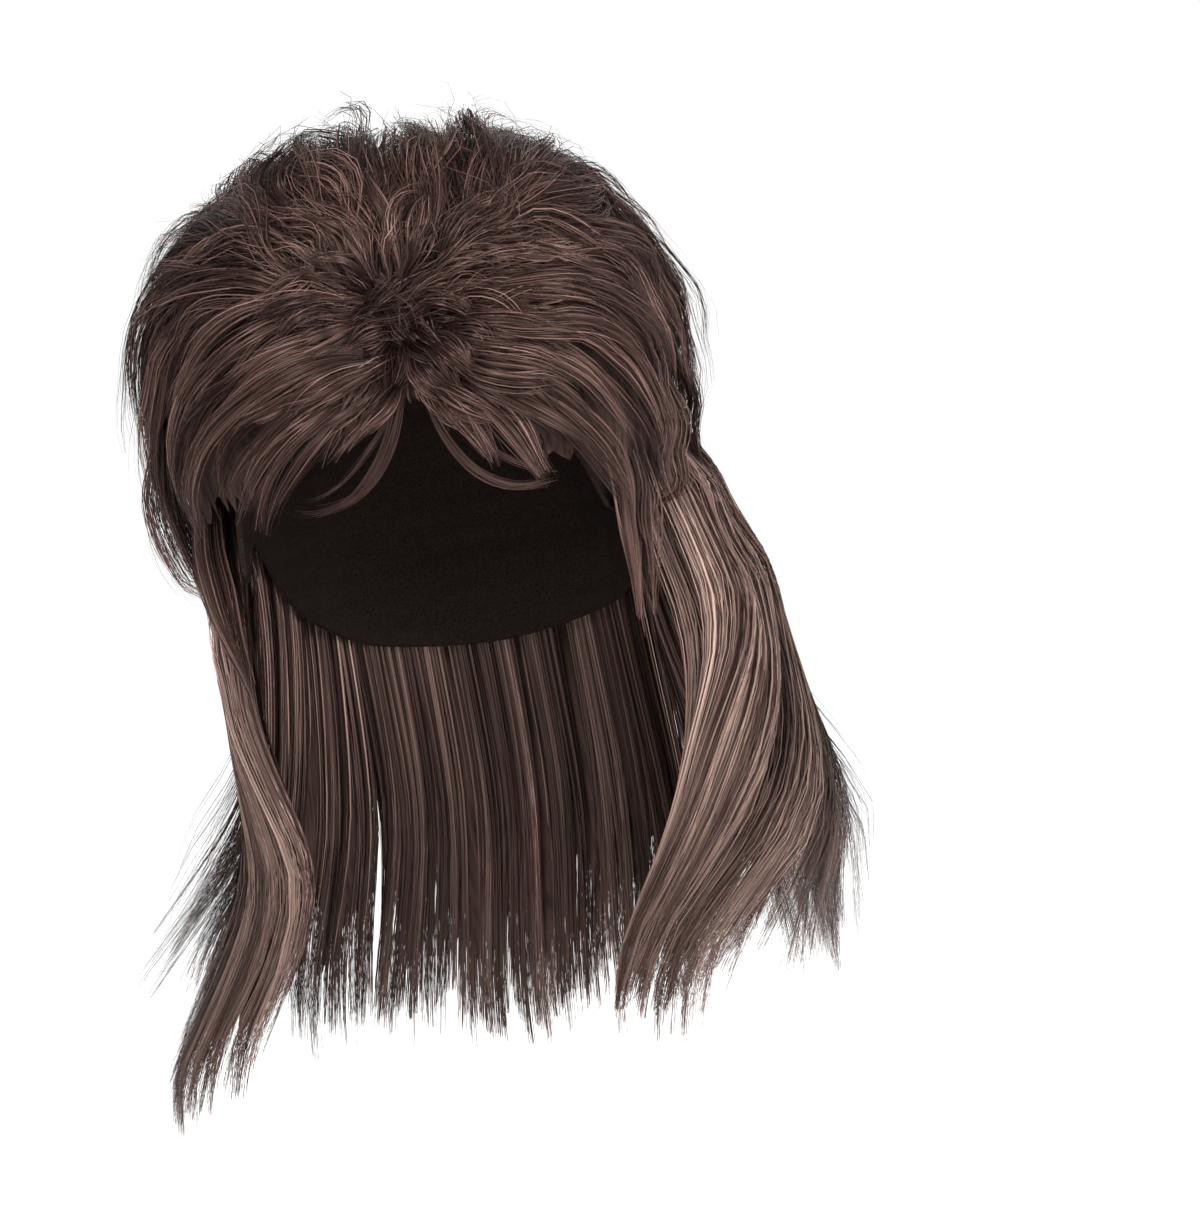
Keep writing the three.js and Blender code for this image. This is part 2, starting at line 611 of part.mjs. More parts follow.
// The pointed lock before an ear: wide under the side hair, narrowing and thinning to its tip.
const BURN_TIP_SHARE = 0.22; // of its width at its root
const BURN_TAPER = 1.5; // over 1 it keeps its width longer
const BURN_EDGE = 0.55; // how much thinner its edges are than its middle
function burnGeometry(side) {
  const columns = 7;
  const rows = 7;
  const burnPoint = (share, across, isOuter) => {
    const width = (BURN_END - BURN_START) * mix(1, BURN_TIP_SHARE, share ** BURN_TAPER);
    const middle = (BURN_START + BURN_END) / 2 - BURN_LEAN * share ** 2;
    const azimuth = side * (middle + (across * width) / 2);
    const hem = shortHem(azimuth) - HEM_GAP - (isOuter ? HEM_DROP : 0);
    const height = mix(hem, -BURN_REACH + BURN_NOTCH * Math.abs(across), share);
    const pile = mix(BURN_PILE, BURN_TIP_PILE, share ** 2) * (1 - BURN_EDGE * across ** 2);
    const seat = curtainReach(azimuth, Math.max(height, seatBody.middle));
    const point = sideways(azimuth).multiplyScalar(seat + (isOuter ? pile : 0));
    point.z = height;
    return point;
  };
  const grid = (isOuter) =>
    sheet(rows, columns, (i, j) =>
      burnPoint(i / rows, side * ((2 * j) / (columns - 1) - 1), isOuter),
    );
  return wallBetween(grid(true), grid(false), false);
}

const hairColour = (hex) => new THREE.MeshStandardMaterial({ color: hex, roughness: 0.55, metalness: 0 });
const shortColour = hairColour(0x3d2f28);
const longColour = hairColour(0x4a3b31);
const netColour = new THREE.MeshStandardMaterial({ color: 0x2a211d, roughness: 0.9, metalness: 0 });

const wig = new THREE.Group();

function addPiece(name, geometry, material) {
  const mesh = new THREE.Mesh(geometry, material);
  mesh.name = name;
  wig.add(mesh);
}

addPiece("wig_cap", capGeometry(), netColour);
addPiece("crown_hair", crownGeometry(), shortColour);
for (const [word, side] of [["left", 1], ["right", -1]]) {
  addPiece(`fringe_${word}`, fringeGeometry(word), shortColour);
  addPiece(`side_${word}`, shortHair(STRETCHES[`side_${word}`], SIDE_LOCKS), shortColour);
  addPiece(`sideburn_${word}`, burnGeometry(side), shortColour);
}
for (const name of ["left", "back", "right"]) {
  addPiece(`tail_${name}`, tailGeometry(name), longColour);
}

export default wig;
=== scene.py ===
import bpy
import numpy as np
from mathutils import Matrix, Vector
from mathutils.bvhtree import BVHTree

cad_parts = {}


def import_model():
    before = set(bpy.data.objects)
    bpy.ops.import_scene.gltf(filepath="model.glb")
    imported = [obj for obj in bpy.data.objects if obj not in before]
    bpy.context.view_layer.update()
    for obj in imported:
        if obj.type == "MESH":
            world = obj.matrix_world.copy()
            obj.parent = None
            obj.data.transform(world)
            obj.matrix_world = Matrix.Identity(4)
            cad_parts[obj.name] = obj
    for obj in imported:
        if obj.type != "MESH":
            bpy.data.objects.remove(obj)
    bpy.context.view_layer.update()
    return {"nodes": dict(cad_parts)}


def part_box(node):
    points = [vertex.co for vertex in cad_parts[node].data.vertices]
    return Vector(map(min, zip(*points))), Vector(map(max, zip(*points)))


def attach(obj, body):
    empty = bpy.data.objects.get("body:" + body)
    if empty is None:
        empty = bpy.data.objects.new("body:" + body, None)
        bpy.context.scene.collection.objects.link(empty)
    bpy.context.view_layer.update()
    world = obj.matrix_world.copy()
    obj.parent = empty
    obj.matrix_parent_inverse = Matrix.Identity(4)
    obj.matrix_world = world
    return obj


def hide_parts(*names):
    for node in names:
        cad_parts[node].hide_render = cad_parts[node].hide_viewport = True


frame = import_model()
nodes = frame["nodes"]

MM = 0.001
SHORT_NODES = ["crown_hair", "fringe_left", "fringe_right", "side_left", "side_right"]
TAIL_NODES = ["tail_left", "tail_back", "tail_right"]
BURN_NODES = ["sideburn_left", "sideburn_right"]

# The camera, as the photograph sees the wig: its line of sight, its roll and its distance.
CAMERA_PIVOT = Vector((0, 0, -0.12))
CAMERA_AZIMUTH = 11.0
CAMERA_ELEVATION = 2.0
CAMERA_ROLL = -11.0
CAMERA_DISTANCE = 1.8
CAMERA_LENS = 130.9
CAMERA_AIM = (0.0607, -0.0078)  # from the pivot to the right in the picture, and up


# Numbers and directions

def unit(vectors):
    return vectors / np.maximum(np.linalg.norm(vectors, axis=-1, keepdims=True), 1e-12)


def ease(t):
    t = np.clip(t, 0, 1)
    return t * t * (3 - 2 * t)


def mix(a, b, t):
    return a + (b - a) * t


def between(x, none, full):
    """0 where x is at none, 1 where it is at full, and eased on the way."""
    return ease((x - none) / (full - none))


def direction(azimuth, elevation):
    """The way out at an azimuth, from the front towards the left, and an elevation."""
    a, e = np.radians(azimuth), np.radians(elevation)
    return np.stack([np.sin(a) * np.cos(e), -np.cos(a) * np.cos(e), np.sin(e)], -1)


def angles(way):
    """The azimuth and the elevation of directions."""
    azimuth = np.degrees(np.arctan2(way[..., 0], -way[..., 1]))
    return azimuth, np.degrees(np.arctan2(way[..., 2], np.hypot(way[..., 0], way[..., 1])))


def along_surface(way, vectors):
    """The part of vectors that runs along the hair's surface."""
    return unit(vectors - way * (vectors * way).sum(-1, keepdims=True))


def turned(vectors, axis, angle):
    """Vectors turned about unit axes that they are square to."""
    angle = angle[..., None]
    return vectors * np.cos(angle) + np.cross(axis, vectors) * np.sin(angle)


# The frame's surfaces

def solid_tree(names):
    corners, faces = [], []
    for name in names:
        mesh = nodes[name].data
        first = len(corners)
        corners.extend(v.co.copy() for v in mesh.vertices)
        faces.extend([first + k for k in p.vertices] for p in mesh.polygons)
    return BVHTree.FromPolygons(corners, faces)


HAIR_MIDDLE = np.array([0.0, 0.0, -0.045])
FAR = 0.4
STEP = 2.0  # degrees between the cells of a table
LOWEST = -60.0
NEAR_TOP = 89.5  # a ray down the axis itself may pass between faces


def sphere_table(tree):
    """How far a surface reaches from the hair's middle, in rows of elevation and columns of azimuth."""
    elevations = np.arange(LOWEST, 90 + STEP, STEP)
    azimuths = np.arange(-180, 180, STEP)
    table = np.full((len(elevations), len(azimuths)), np.nan)
    middle = Vector(HAIR_MIDDLE)
    for i, elevation in enumerate(elevations):
        for j, azimuth in enumerate(azimuths):
            way = Vector(direction(azimuth, min(elevation, NEAR_TOP)))
            hit = tree.ray_cast(middle + way * FAR, -way)[0]
            if hit is not None and (hit - middle).dot(way) > 0:
                table[i, j] = (hit - middle).length
    return table


def filled_down(table):
    table = table.copy()
    for row in range(table.shape[0] - 2, -1, -1):
        empty = np.isnan(table[row])
        table[row, empty] = table[row + 1, empty]
    return table


def smoothed(table, passes):
    for _ in range(passes):
        beside = (np.roll(table, 1, 1) + np.roll(table, -1, 1)) / 2
        padded = np.pad(table, ((1, 1), (0, 0)), mode="edge")
        table = table / 2 + beside / 4 + (padded[2:] + padded[:-2]) / 8
    return table


def look_up(table, azimuth, elevation):
    row = np.clip((elevation - LOWEST) / STEP, 0, table.shape[0] - 1.001)
    column = ((azimuth + 180) / STEP) % table.shape[1]
    i, j = row.astype(int), column.astype(int) % table.shape[1]
    k = (j + 1) % table.shape[1]
    p, q = row - i, column - np.floor(column)
    upper = table[i + 1, j] * (1 - q) + table[i + 1, k] * q
    return (table[i, j] * (1 - q) + table[i, k] * q) * (1 - p) + upper * p


raw_reach = sphere_table(solid_tree(SHORT_NODES))
rows_of_hair = np.argmax(np.isnan(raw_reach[::-1]), 0)
hem_elevation = 90 - (rows_of_hair - 1) * STEP

OVER_TAIL = 0.002
FALL_IN = 0.97  # how hair past its hem falls in over a tail, as a share of straight down


def hair_surface():
    """The short hair's own surface, and below its hem what its ends lie on or hang down past."""
    table = raw_reach.copy()
    tail = sphere_table(solid_tree(TAIL_NODES)) + OVER_TAIL
    elevations = np.radians(np.arange(LOWEST, 90 + STEP, STEP))
    rows = np.arange(len(elevations))[:, None]
    hem_row = len(elevations) - rows_of_hair
    falling = table[hem_row, np.arange(table.shape[1])] * np.cos(elevations[hem_row])
    straight_down = falling[None, :] / np.cos(elevations)[:, None]
    below = np.where(np.isnan(tail), straight_down, np.maximum(tail, straight_down * FALL_IN))
    return smoothed(np.where(rows < hem_row[None, :], below, filled_down(table)), 2)


hair_reach = hair_surface()


def hem_at(azimuth):
    """The elevation of the short hair's hem, seen from the hair's middle."""
    columns = np.arange(-180, 180, STEP)
    return np.interp(azimuth, columns, hem_elevation, period=360)


cap_reach = smoothed(filled_down(sphere_table(solid_tree(["wig_cap"]))), 1)
CAP_CLEAR = 0.003


def clear_of_cap(points):
    """Points, moved out where they lie in the cap or inside it."""
    way = unit(points - HAIR_MIDDLE)
    reach = np.linalg.norm(points - HAIR_MIDDLE, axis=-1)
    least = look_up(cap_reach, *angles(way)) + CAP_CLEAR
    return HAIR_MIDDLE + way * np.maximum(reach, least)[..., None]


def level_reach(table, azimuth, level):
    """How far out from the upright axis a surface lies at a level."""
    height = level - HAIR_MIDDLE[2]
    reach = np.full(np.shape(azimuth), 0.1)  # a first guess
    for _ in range(6):
        elevation = np.degrees(np.arctan2(height, reach))
        reach = look_up(table, azimuth, elevation) * np.cos(np.radians(elevation))
    return reach


def on_hair(way, lift):
    return HAIR_MIDDLE + way * (look_up(hair_reach, *angles(way)) + lift)[..., None]


# Meshes of strands

class Strands:
    """Strands gathered for one piece: their middle lines, ways out, widths and shades."""

    ROOT_WIDTH = 0.6  # shares of a strand's full width
    TIP_WIDTH = 0.25
    SHELL_MARK = [0.0, 0.3, 0.0, 1.0]

    def __init__(self):
        self.parts = []
        self.shells = []

    def add(self, lines, outs, widths, rolls, shades, locks):
        """Adds strands of one number of points each. Shades and locks run from 0 to 1."""
        self.parts.append((lines, outs, widths, rolls, shades, locks))

    def add_shell(self, corners, faces):
        self.shells.append((corners, faces))

    def mesh(self, name):
        corners, quads, marks, uvs = [], [], [], []
        first = 0
        # Each strand is a flat ribbon. Its mark holds its shade, the place along it and its lock.
        for lines, outs, widths, rolls, shades, locks in self.parts:
            count, points = lines.shape[:2]
            along = np.linspace(0, 1, points)
            tangents = unit(np.gradient(lines, axis=1))
            across = unit(np.cross(tangents, outs))
            normals = np.cross(across, tangents)
            side = turned(across, tangents, np.broadcast_to(rolls, (count, points)))
            thin = mix(1, self.TIP_WIDTH, between(along, 0.6, 1))
            thin = thin * mix(self.ROOT_WIDTH, 1, between(along, 0, 0.1))
            half = side * (widths[:, None] * thin / 2)[..., None]
            corners.append(np.stack([lines - half, lines + half], 2).reshape(-1, 3))
            k = first + np.arange(count * points * 2).reshape(count, points, 2)
            quad = np.stack([k[:, :-1, 0], k[:, :-1, 1], k[:, 1:, 1], k[:, 1:, 0]], -1)
            quads.append(quad.reshape(-1, 4))
            mark = np.empty((count, points, 2, 4))
            mark[..., 0] = shades[:, None, None]
            mark[..., 1] = along[None, :, None]
            mark[..., 2] = locks[:, None, None]
            mark[..., 3] = 1
            marks.append(mark.reshape(-1, 4))
            length = np.linalg.norm(np.diff(lines, axis=1), axis=2).sum(1)
            u = np.empty((count, points, 2, 2))
            u[..., 0] = np.arange(2)[None, None, :] * widths[:, None, None] * 100
            u[..., 1] = (along[None, :] * length[:, None])[..., None] * 10
            u += (shades[:, None, None, None] * 37.0) % 1
            uvs.append(u.reshape(-1, 2))
            first += count * points * 2
        loops = [np.concatenate(quads).ravel()]
        sizes = [np.full(len(loops[0]) // 4, 4)]
        # The shells' faces come last, with the second material.
        for shell_corners, shell_faces in self.shells:
            corners.append(shell_corners)
            marks.append(np.tile(self.SHELL_MARK, (len(shell_corners), 1)))
            uvs.append(np.zeros((len(shell_corners), 2)))
            loops.append((shell_faces + first).ravel())
            sizes.append(np.full(len(shell_faces), shell_faces.shape[1]))
            first += len(shell_corners)
        corners, marks, uvs = (np.concatenate(x) for x in (corners, marks, uvs))
        loops, sizes = np.concatenate(loops), np.concatenate(sizes)
        mesh = bpy.data.meshes.new(name)
        mesh.vertices.add(len(corners))
        mesh.vertices.foreach_set("co", corners.astype(np.float32).ravel())
        mesh.loops.add(len(loops))
        mesh.loops.foreach_set("vertex_index", loops.astype(np.int32))
        mesh.polygons.add(len(sizes))
        starts = np.concatenate([[0], np.cumsum(sizes)[:-1]])
        mesh.polygons.foreach_set("loop_start", starts.astype(np.int32))
        mesh.update(calc_edges=True)
        mesh.polygons.foreach_set("use_smooth", np.ones(len(sizes), bool))
        in_shell = np.zeros(len(sizes), np.int32)
        in_shell[sum(len(faces) for faces in quads):] = 1
        mesh.polygons.foreach_set("material_index", in_shell)
        layer = mesh.attributes.new("strand", "FLOAT_COLOR", "POINT")
        layer.data.foreach_set("color", marks.astype(np.float32).ravel())
        mesh.uv_layers.new(name="Strand").data.foreach_set("uv", uvs[loops].astype(np.float32).ravel())
        mesh.validate()
        return mesh


def add_piece(name, mesh, materials, replaced):
    piece = bpy.data.objects.new(name, mesh)
    bpy.context.collection.objects.link(piece)
    for material in materials:
        mesh.materials.append(material)
    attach(piece, "root")
    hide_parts(*replaced)
    return piece


# Locks of short hair. They spread from the whorl above the parting, then turn down over the sides.

PART_AZIMUTH = 11.0
PART_ELEVATION = 11.0  # where the fringe springs from
WHORL_ELEVATION = 27.0  # where the hair above it springs from
SOURCE_REACH = 13.0  # how far to either side of the whorl locks spring
SOURCE_SCATTER = 2.0
CROSSING_NEAR = 13.0  # a lock that ends this near its source starts across it instead,
CROSSING_START = 30.0  # this far from its end
DOWN_SHARE = 0.85  # how much of its way low hair turns down
POINTS = 18  # in a lock's middle line
FINE_POINTS = 11  # in a strand


def flow(way, source):
    """The way that hair runs: away from its source, then down over the fringe and the sides."""
    away = along_surface(way, -source)
    down = along_surface(way, np.broadcast_to([0.0, 0.0, -1.0], way.shape))
    _, elevation = angles(way)
    far = np.degrees(np.arccos(np.clip((way * source).sum(-1), -1, 1)))
    share = DOWN_SHARE * between(far, 10, 85) * between(elevation, 70, 15)
    return unit(mix(away, down, share[..., None]))


def sources_for(rng, tips):
    """Where locks spring from: a short line across the crown for the hair above it, which narrows to the
    parting for the fringe. Locks that end close by cross it, and lie under the others: they are the second
    thing given back."""
    azimuth, elevation = angles(tips)
    low = between(elevation, 24, -10) * between(np.abs(azimuth - PART_AZIMUTH), 100, 60)
    side = np.clip((azimuth - PART_AZIMUTH + 180) % 360 - 180, -90, 90) / 90
    middle = direction(
        PART_AZIMUTH + SOURCE_REACH * side * (1 - low) + rng.normal(0, SOURCE_SCATTER, len(tips)),
        mix(WHORL_ELEVATION, PART_ELEVATION, low) + rng.normal(0, SOURCE_SCATTER, len(tips)),
    )
    crossing = (tips * middle).sum(-1) > np.cos(np.radians(CROSSING_NEAR))
    opposite = unit(tips + along_surface(tips, middle - tips) * np.tan(np.radians(CROSSING_START)))
    return np.where(crossing[:, None], opposite, middle), crossing


GOLDEN_ANGLE = 137.508
SPREAD_JITTER = 0.22  # a share of the spacing


def spread_ways(rng, count, accept):
    """Directions spread evenly over the hair, kept where accept says so."""
    everywhere = count
    while True:
        k = np.arange(everywhere) + 0.5
        elevation = np.degrees(np.arcsin(1 - 2 * k / everywhere))
        spacing = np.sqrt(4 * np.pi / everywhere)
        ways = direction(k * GOLDEN_ANGLE, elevation)
        ways = unit(ways + rng.normal(0, SPREAD_JITTER * spacing, ways.shape))
        kept = ways[accept(ways)]
        if len(kept) >= count:
            return rng.permutation(kept)[:count]
        everywhere = int(everywhere * 1.04) + 1


def lock_lines(rng, tips, sources, lengths, bends, root_depth, arch, tip_lift):
    """Middle lines of locks that end at the tips, traced back against the flow, and their ways out."""
    count = len(tips)
    step = lengths / (POINTS - 1)
    phase = rng.uniform(0, 2 * np.pi, count)
    turns = rng.uniform(0.5, 1.1, count)
    ways = [tips]
    heading = flow(tips, sources)
    for k in range(POINTS - 1):
        way = ways[-1]
        t = 1 - k / (POINTS - 1)
        far = np.degrees(np.arccos(np.clip((way * sources).sum(-1), -1, 1)))
        angle = bends * np.sin(2 * np.pi * turns * t + phase) * between(far, 0, 30)
        reach = look_up(hair_reach, *angles(way))
        # Close to its source a lock keeps the way that it had, and crosses the parting.
        steady = along_surface(way, heading)
        heading = unit(mix(steady, turned(flow(way, sources), way, angle), between(far, 3, 10)[:, None]))
        heading = along_surface(way, heading)
        ways.append(unit(way - heading * (step / reach)[:, None]))
    ways = np.stack(ways[::-1], 1)
    # A lock rises from its root under the others, arches, and lifts or sinks at its tip.
    t = np.linspace(0, 1, POINTS)[None, :]
    lift = -root_depth[:, None] * (1 - t) ** 2 + arch[:, None] * np.sin(np.pi * t) ** 1.5
    lift = lift + tip_lift[:, None] * t**3
    return on_hair(ways, lift), ways


ROOT_BUNDLE = 0.35  # shares of a lock's full radius
TIP_BUNDLE = 0.4
FLATNESS = 0.5  # of a lock's section
OUTWARD_FRIZZ = 0.6  # a share of the sideways one
STRAY_FRIZZ = 3.0  # how much more stray strands wave
STRAY_LIFT = 0.007


def strands_in_locks(rng, lines, outs, per_lock, radius, frizz, stray_share, made):
    """Strands bundled about each lock's middle line, their ways out, their locks, which of them are stray,
    and how far out in its lock each lies, from -1 to 1."""
    count = len(lines)
    points = lines.shape[1]
    lock = np.repeat(np.arange(count), per_lock)
    total = len(lock)
    t = np.linspace(0, 1, points)[None, :]
    base = lines[lock]
    out = outs[lock]
    tangents = unit(np.gradient(base, axis=1))
    across = unit(np.cross(tangents, out))
    out = np.cross(across, tangents)
    turn = rng.uniform(0, 2 * np.pi, total)
    rho = np.sqrt(rng.uniform(0, 1, total))
    wide = radius[lock][:, None] * mix(ROOT_BUNDLE, 1, between(t, 0, 0.4))
    wide = wide * mix(1, TIP_BUNDLE, between(t, 0.5, 1))
    stray = rng.uniform(0, 1, total) < stray_share
    amplitude = frizz[lock] * rng.uniform(0.4, 1.3, total) * np.where(stray, STRAY_FRIZZ, 1)

    def wave():
        cycles = rng.uniform(0.5, 1.8, total)[:, None]
        phase = rng.uniform(0, 2 * np.pi, total)[:, None]
        return (np.sin(2 * np.pi * cycles * t + phase) - np.sin(phase)) * amplitude[:, None] * t

    sideways = wide * (rho * np.cos(turn))[:, None] + wave()
    outwards = wide * FLATNESS * (rho * np.sin(turn))[:, None] + wave() * OUTWARD_FRIZZ
    outwards += np.where(stray, rng.uniform(0, STRAY_LIFT, total), 0)[:, None] * t**2
    reach = rng.uniform(0.8, 1.0, total)[:, None]
    moved = base + across * sideways[..., None] + out * outwards[..., None]
    t = np.linspace(0, 1, made)[None, :] * reach
    return resampled(moved, t), resampled(outs[lock], t), lock, stray, rho * np.sin(turn)


def cut_at_hem(lines, hang):
    """Strands cut short where they hang further past the hem, in degrees, than they may."""
    azimuth, elevation = angles(unit(lines - HAIR_MIDDLE))
    over = elevation - hem_at(azimuth) + hang[:, None]
    below = over < 0
    below[:, :2] = False
    first = np.where(below.any(1), np.argmax(below, 1), lines.shape[1] - 1)
    rows = np.arange(len(lines))
    before, after = over[rows, first - 1], over[rows, first]
    part = np.where(below.any(1), before / np.maximum(before - after, 1e-6), 1)
    keep = (first - 1 + np.clip(part, 0, 1)) / (lines.shape[1] - 1)
    return resampled(lines, np.linspace(0, 1, lines.shape[1])[None, :] * keep[:, None])


def resampled(lines, t):
    """Lines read again at other shares of their length."""
    points = lines.shape[1]
    x = np.clip(t * (points - 1), 0, points - 1.0001)
    i = x.astype(int)
    p = (x - i)[..., None]
    rows = np.arange(len(lines))[:, None]
    return lines[rows, i] * (1 - p) + lines[rows, i + 1] * p


# Materials

def ramp(tree, source, stops):
    node = tree.nodes.new("ShaderNodeValToRGB")
    node.color_ramp.interpolation = "B_SPLINE"
    while len(node.color_ramp.elements) < len(stops):
        node.color_ramp.elements.new(0.5)
    for element, (place, colour) in zip(node.color_ramp.elements, stops):
        element.position = place
        element.color = (*colour, 1)
    tree.links.new(source, node.inputs[0])
    return node.outputs[0]


def grey(value):
    return (value, value, value)


def shader_node(tree, kind, **inputs):
    node = tree.nodes.new("ShaderNode" + kind)
    for name, value in inputs.items():
        node.inputs[name].default_value = value
    return node


def new_material(name, roughness, specular=0.5):
    material = bpy.data.materials.new(name)
    material.use_nodes = True
    shader = material.node_tree.nodes["Principled BSDF"]
    shader.inputs["Roughness"].default_value = roughness
    shader.inputs["Specular IOR Level"].default_value = specular
    return material, material.node_tree, shader


GLINT = 0.17  # the specular level of a strand that faces the camera,
EDGE_GLINT = 0.01  # and of one that is seen edge on
GLINT_TINT = (1.0, 0.66, 0.56, 1)


def hair_material(name, roughness, stops, painted_light_lengthwise):
    """Colours from the strands' shades, times their brightness lengthwise, which is painted light and shade,
    with the long glints of hair.
    """
    material, tree, shader = new_material(name, roughness)
    mark = shader_node(tree, "Attribute")
    mark.attribute_name = "strand"
    channels = shader_node(tree, "SeparateColor")
    tree.links.new(mark.outputs["Color"], channels.inputs[0])
    colour = ramp(tree, channels.outputs[0], stops)
    painted_light_along = ramp(tree, channels.outputs[1], [(place, grey(bright)) for place, bright in painted_light_lengthwise])
    mixed = shader_node(tree, "Mix")
    mixed.data_type = "RGBA"
    mixed.blend_type = "MULTIPLY"
    mixed.inputs[0].default_value = 1
    tree.links.new(colour, mixed.inputs[6])
    tree.links.new(painted_light_along, mixed.inputs[7])
    tree.links.new(mixed.outputs[2], shader.inputs["Base Color"])
    facing = shader_node(tree, "LayerWeight", Blend=0.5)
    glint = ramp(tree, facing.outputs["Facing"], [(0.35, grey(GLINT)), (0.85, grey(EDGE_GLINT))])
    tree.links.new(glint, shader.inputs["Specular IOR Level"])
    shader.inputs["Specular Tint"].default_value = GLINT_TINT
    shader.inputs["Anisotropic"].default_value = 0.75
    tangent = shader_node(tree, "Tangent")
    tangent.direction_type = "UV_MAP"
    tangent.uv_map = "Strand"
    tree.links.new(tangent.outputs[0], shader.inputs["Tangent"])
    return material


DARK_BROWN = (0.0030, 0.0014, 0.0012)
BROWN = (0.0095, 0.0046, 0.0039)
WARM_BROWN = (0.018, 0.0093, 0.0080)
LIGHT_BROWN = (0.048, 0.028, 0.024)
PALE_BROWN = (0.090, 0.052, 0.043)
GREY_BROWN = (0.185, 0.124, 0.104)
# Darker towards the roots: painted shade where roots lie under other hair and along the parting.
short_material = hair_material(
    "short_hair",
    0.40,
    [(0.0, DARK_BROWN), (0.3, BROWN), (0.6, WARM_BROWN), (1.0, PALE_BROWN)],
    [(0.0, 0.08), (0.42, 1.0), (1.0, 1.0)],
)
# Painted shade at the roots under the short hair, a painted band of sheen below them, and darker towards the
# tips.
long_material = hair_material(
    "long_hair",
    0.34,
    [(0.0, DARK_BROWN), (0.25, BROWN), (0.42, WARM_BROWN), (0.6, LIGHT_BROWN), (0.9, GREY_BROWN)],
    [(0.0, 0.15), (0.07, 0.5), (0.15, 0.87), (0.42, 0.87), (0.55, 0.58), (0.75, 0.46), (1.0, 0.38)],
)

# Colours of painted shade, for the hair's depth under its outer strands
DEPTH_SHADE_DARK = (0.005, 0.0028, 0.0023)
DEPTH_SHADE_LIGHT = (0.022, 0.0123, 0.0100)
NET_THREAD = (0.008, 0.005, 0.004)
NET_HOLE = (0.002, 0.0015, 0.0013)


def painted_shade_material():
    """Painted shade: the dark depth of hair under its outer strands, as if in shadow, streaked up and down.
    """
    material, tree, shader = new_material("hair_depth_painted_shade", 0.9, 0.05)
    place = shader_node(tree, "TexCoord")
    streaks = shader_node(tree, "Mapping", Scale=(1, 1, 0.06))
    tree.links.new(place.outputs["Object"], streaks.inputs["Vector"])
    noise = shader_node(tree, "TexNoise", Scale=500, Detail=3)
    tree.links.new(streaks.outputs[0], noise.inputs["Vector"])
    colour = ramp(tree, noise.outputs[0], [(0.35, DEPTH_SHADE_DARK), (0.65, DEPTH_SHADE_LIGHT)])
    tree.links.new(colour, shader.inputs["Base Color"])
    return material


depth_shade_material = painted_shade_material()


def net_material():
    """Fine dark net with its stitched rows."""
    material, tree, shader = new_material("net", 1.0, 0.03)
    place = shader_node(tree, "TexCoord")
    weave = shader_node(tree, "TexVoronoi", Scale=700)
    weave.feature = "DISTANCE_TO_EDGE"
    tree.links.new(place.outputs["Object"], weave.inputs["Vector"])
    colour = ramp(tree, weave.outputs[0], [(0.0, NET_THREAD), (0.25, NET_HOLE)])
    tree.links.new(colour, shader.inputs["Base Color"])
    rows = shader_node(tree, "TexWave", Scale=26, Distortion=0.6)
    rows.bands_direction = "Z"
    tree.links.new(place.outputs["Object"], rows.inputs["Vector"])
    bump = shader_node(tree, "Bump", Strength=0.6, Distance=0.0006)
    tree.links.new(rows.outputs["Fac"], bump.inputs["Height"])
    tree.links.new(bump.outputs[0], shader.inputs["Normal"])
    return material


nodes["wig_cap"].material_slots[0].material = net_material()


# The short hair: broad locks, each of many thin ones, each of many strands

rng = np.random.default_rng(20)
BROAD = 240  # locks
THIN = 7  # thin locks in each
PER_LOCK = 16  # strands in each
CROWN_FRONT = 70  # degrees to either side of the parting
OWNER_AT = 0.6  # how far along a lock the nearest solid is the one that it belongs to

# Lengths are in metres and turns in degrees. Of two values the first is the least and the second the most,
# or the first is for the sides and the second for the top where the comment says so.
FROM_PART = [0, 35, 52, 80, 110, 150]  # degrees from the parting,
HANG = [0.5, 2, 9, 10, 11, 14]  # and how many degrees past the solid's hem hair may hang there
LOCK_LENGTH = (0.07, 0.14)
HAIR_RADIUS = 0.1
MOST_OF_WAY = 0.88  # from a lock's source that it may cover
BEND = (14, 30)  # at the sides and on the top
FRINGE_BEND = -6  # added to it over the fringe
ROOT_DEPTH = (0.005, 0.013)
ARCH = (-0.003, 0.005)
TIP_LIFT = (-0.012, 0.001)
BROAD_RADIUS = (0.009, 0.016)
THIN_RADIUS = (0.0025, 0.0060)
BROAD_FRIZZ = (0.0018, 0.004)  # at the sides and on the top
THIN_FRIZZ = (0.0012, 0.0024)  # at the sides and on the top
BROAD_STRAYS = 0.11  # shares of the thin locks and of the strands
THIN_STRAYS = 0.2
STRAND_WIDTH = (0.00028, 0.00052)

# Locks that cross the parting lie under the others, and are straighter and smoother, and darker with painted
# shade for lying under them.
CROSSING_BEND = 0.4
CROSSING_FRIZZ = 0.3
CROSSING_THIN_FRIZZ = 0.5
CROSSING_ARCH = -0.009
CROSSING_TIP_LIFT = -0.004

# Shades run from 0, the darkest, to 1. Of two values the first is the mean and the second the spread.
BROAD_SHADE = (0.235, 0.10)
THIN_SHADE = (0, 0.13)
STRAND_SHADE = (0, 0.25)
THIN_OUTER_PAINTED_LIGHT = 0.22  # painted light added to thin locks on the outside of a broad one, with the inner ones left darker as painted shade
OUTER_PAINTED_LIGHT = 0.12  # the same painted light and shade for strands in a thin lock
STRAY_SHADE = 0.12
# painted shade for the locks that lie under the others
CROSSING_PAINTED_SHADE = -0.36
SOURCE_SHADE = -0.45  # added in the shadow where the hair parts
SOURCE_SHADOW = (19, 15, 11)  # its elevation, and its half width and half height


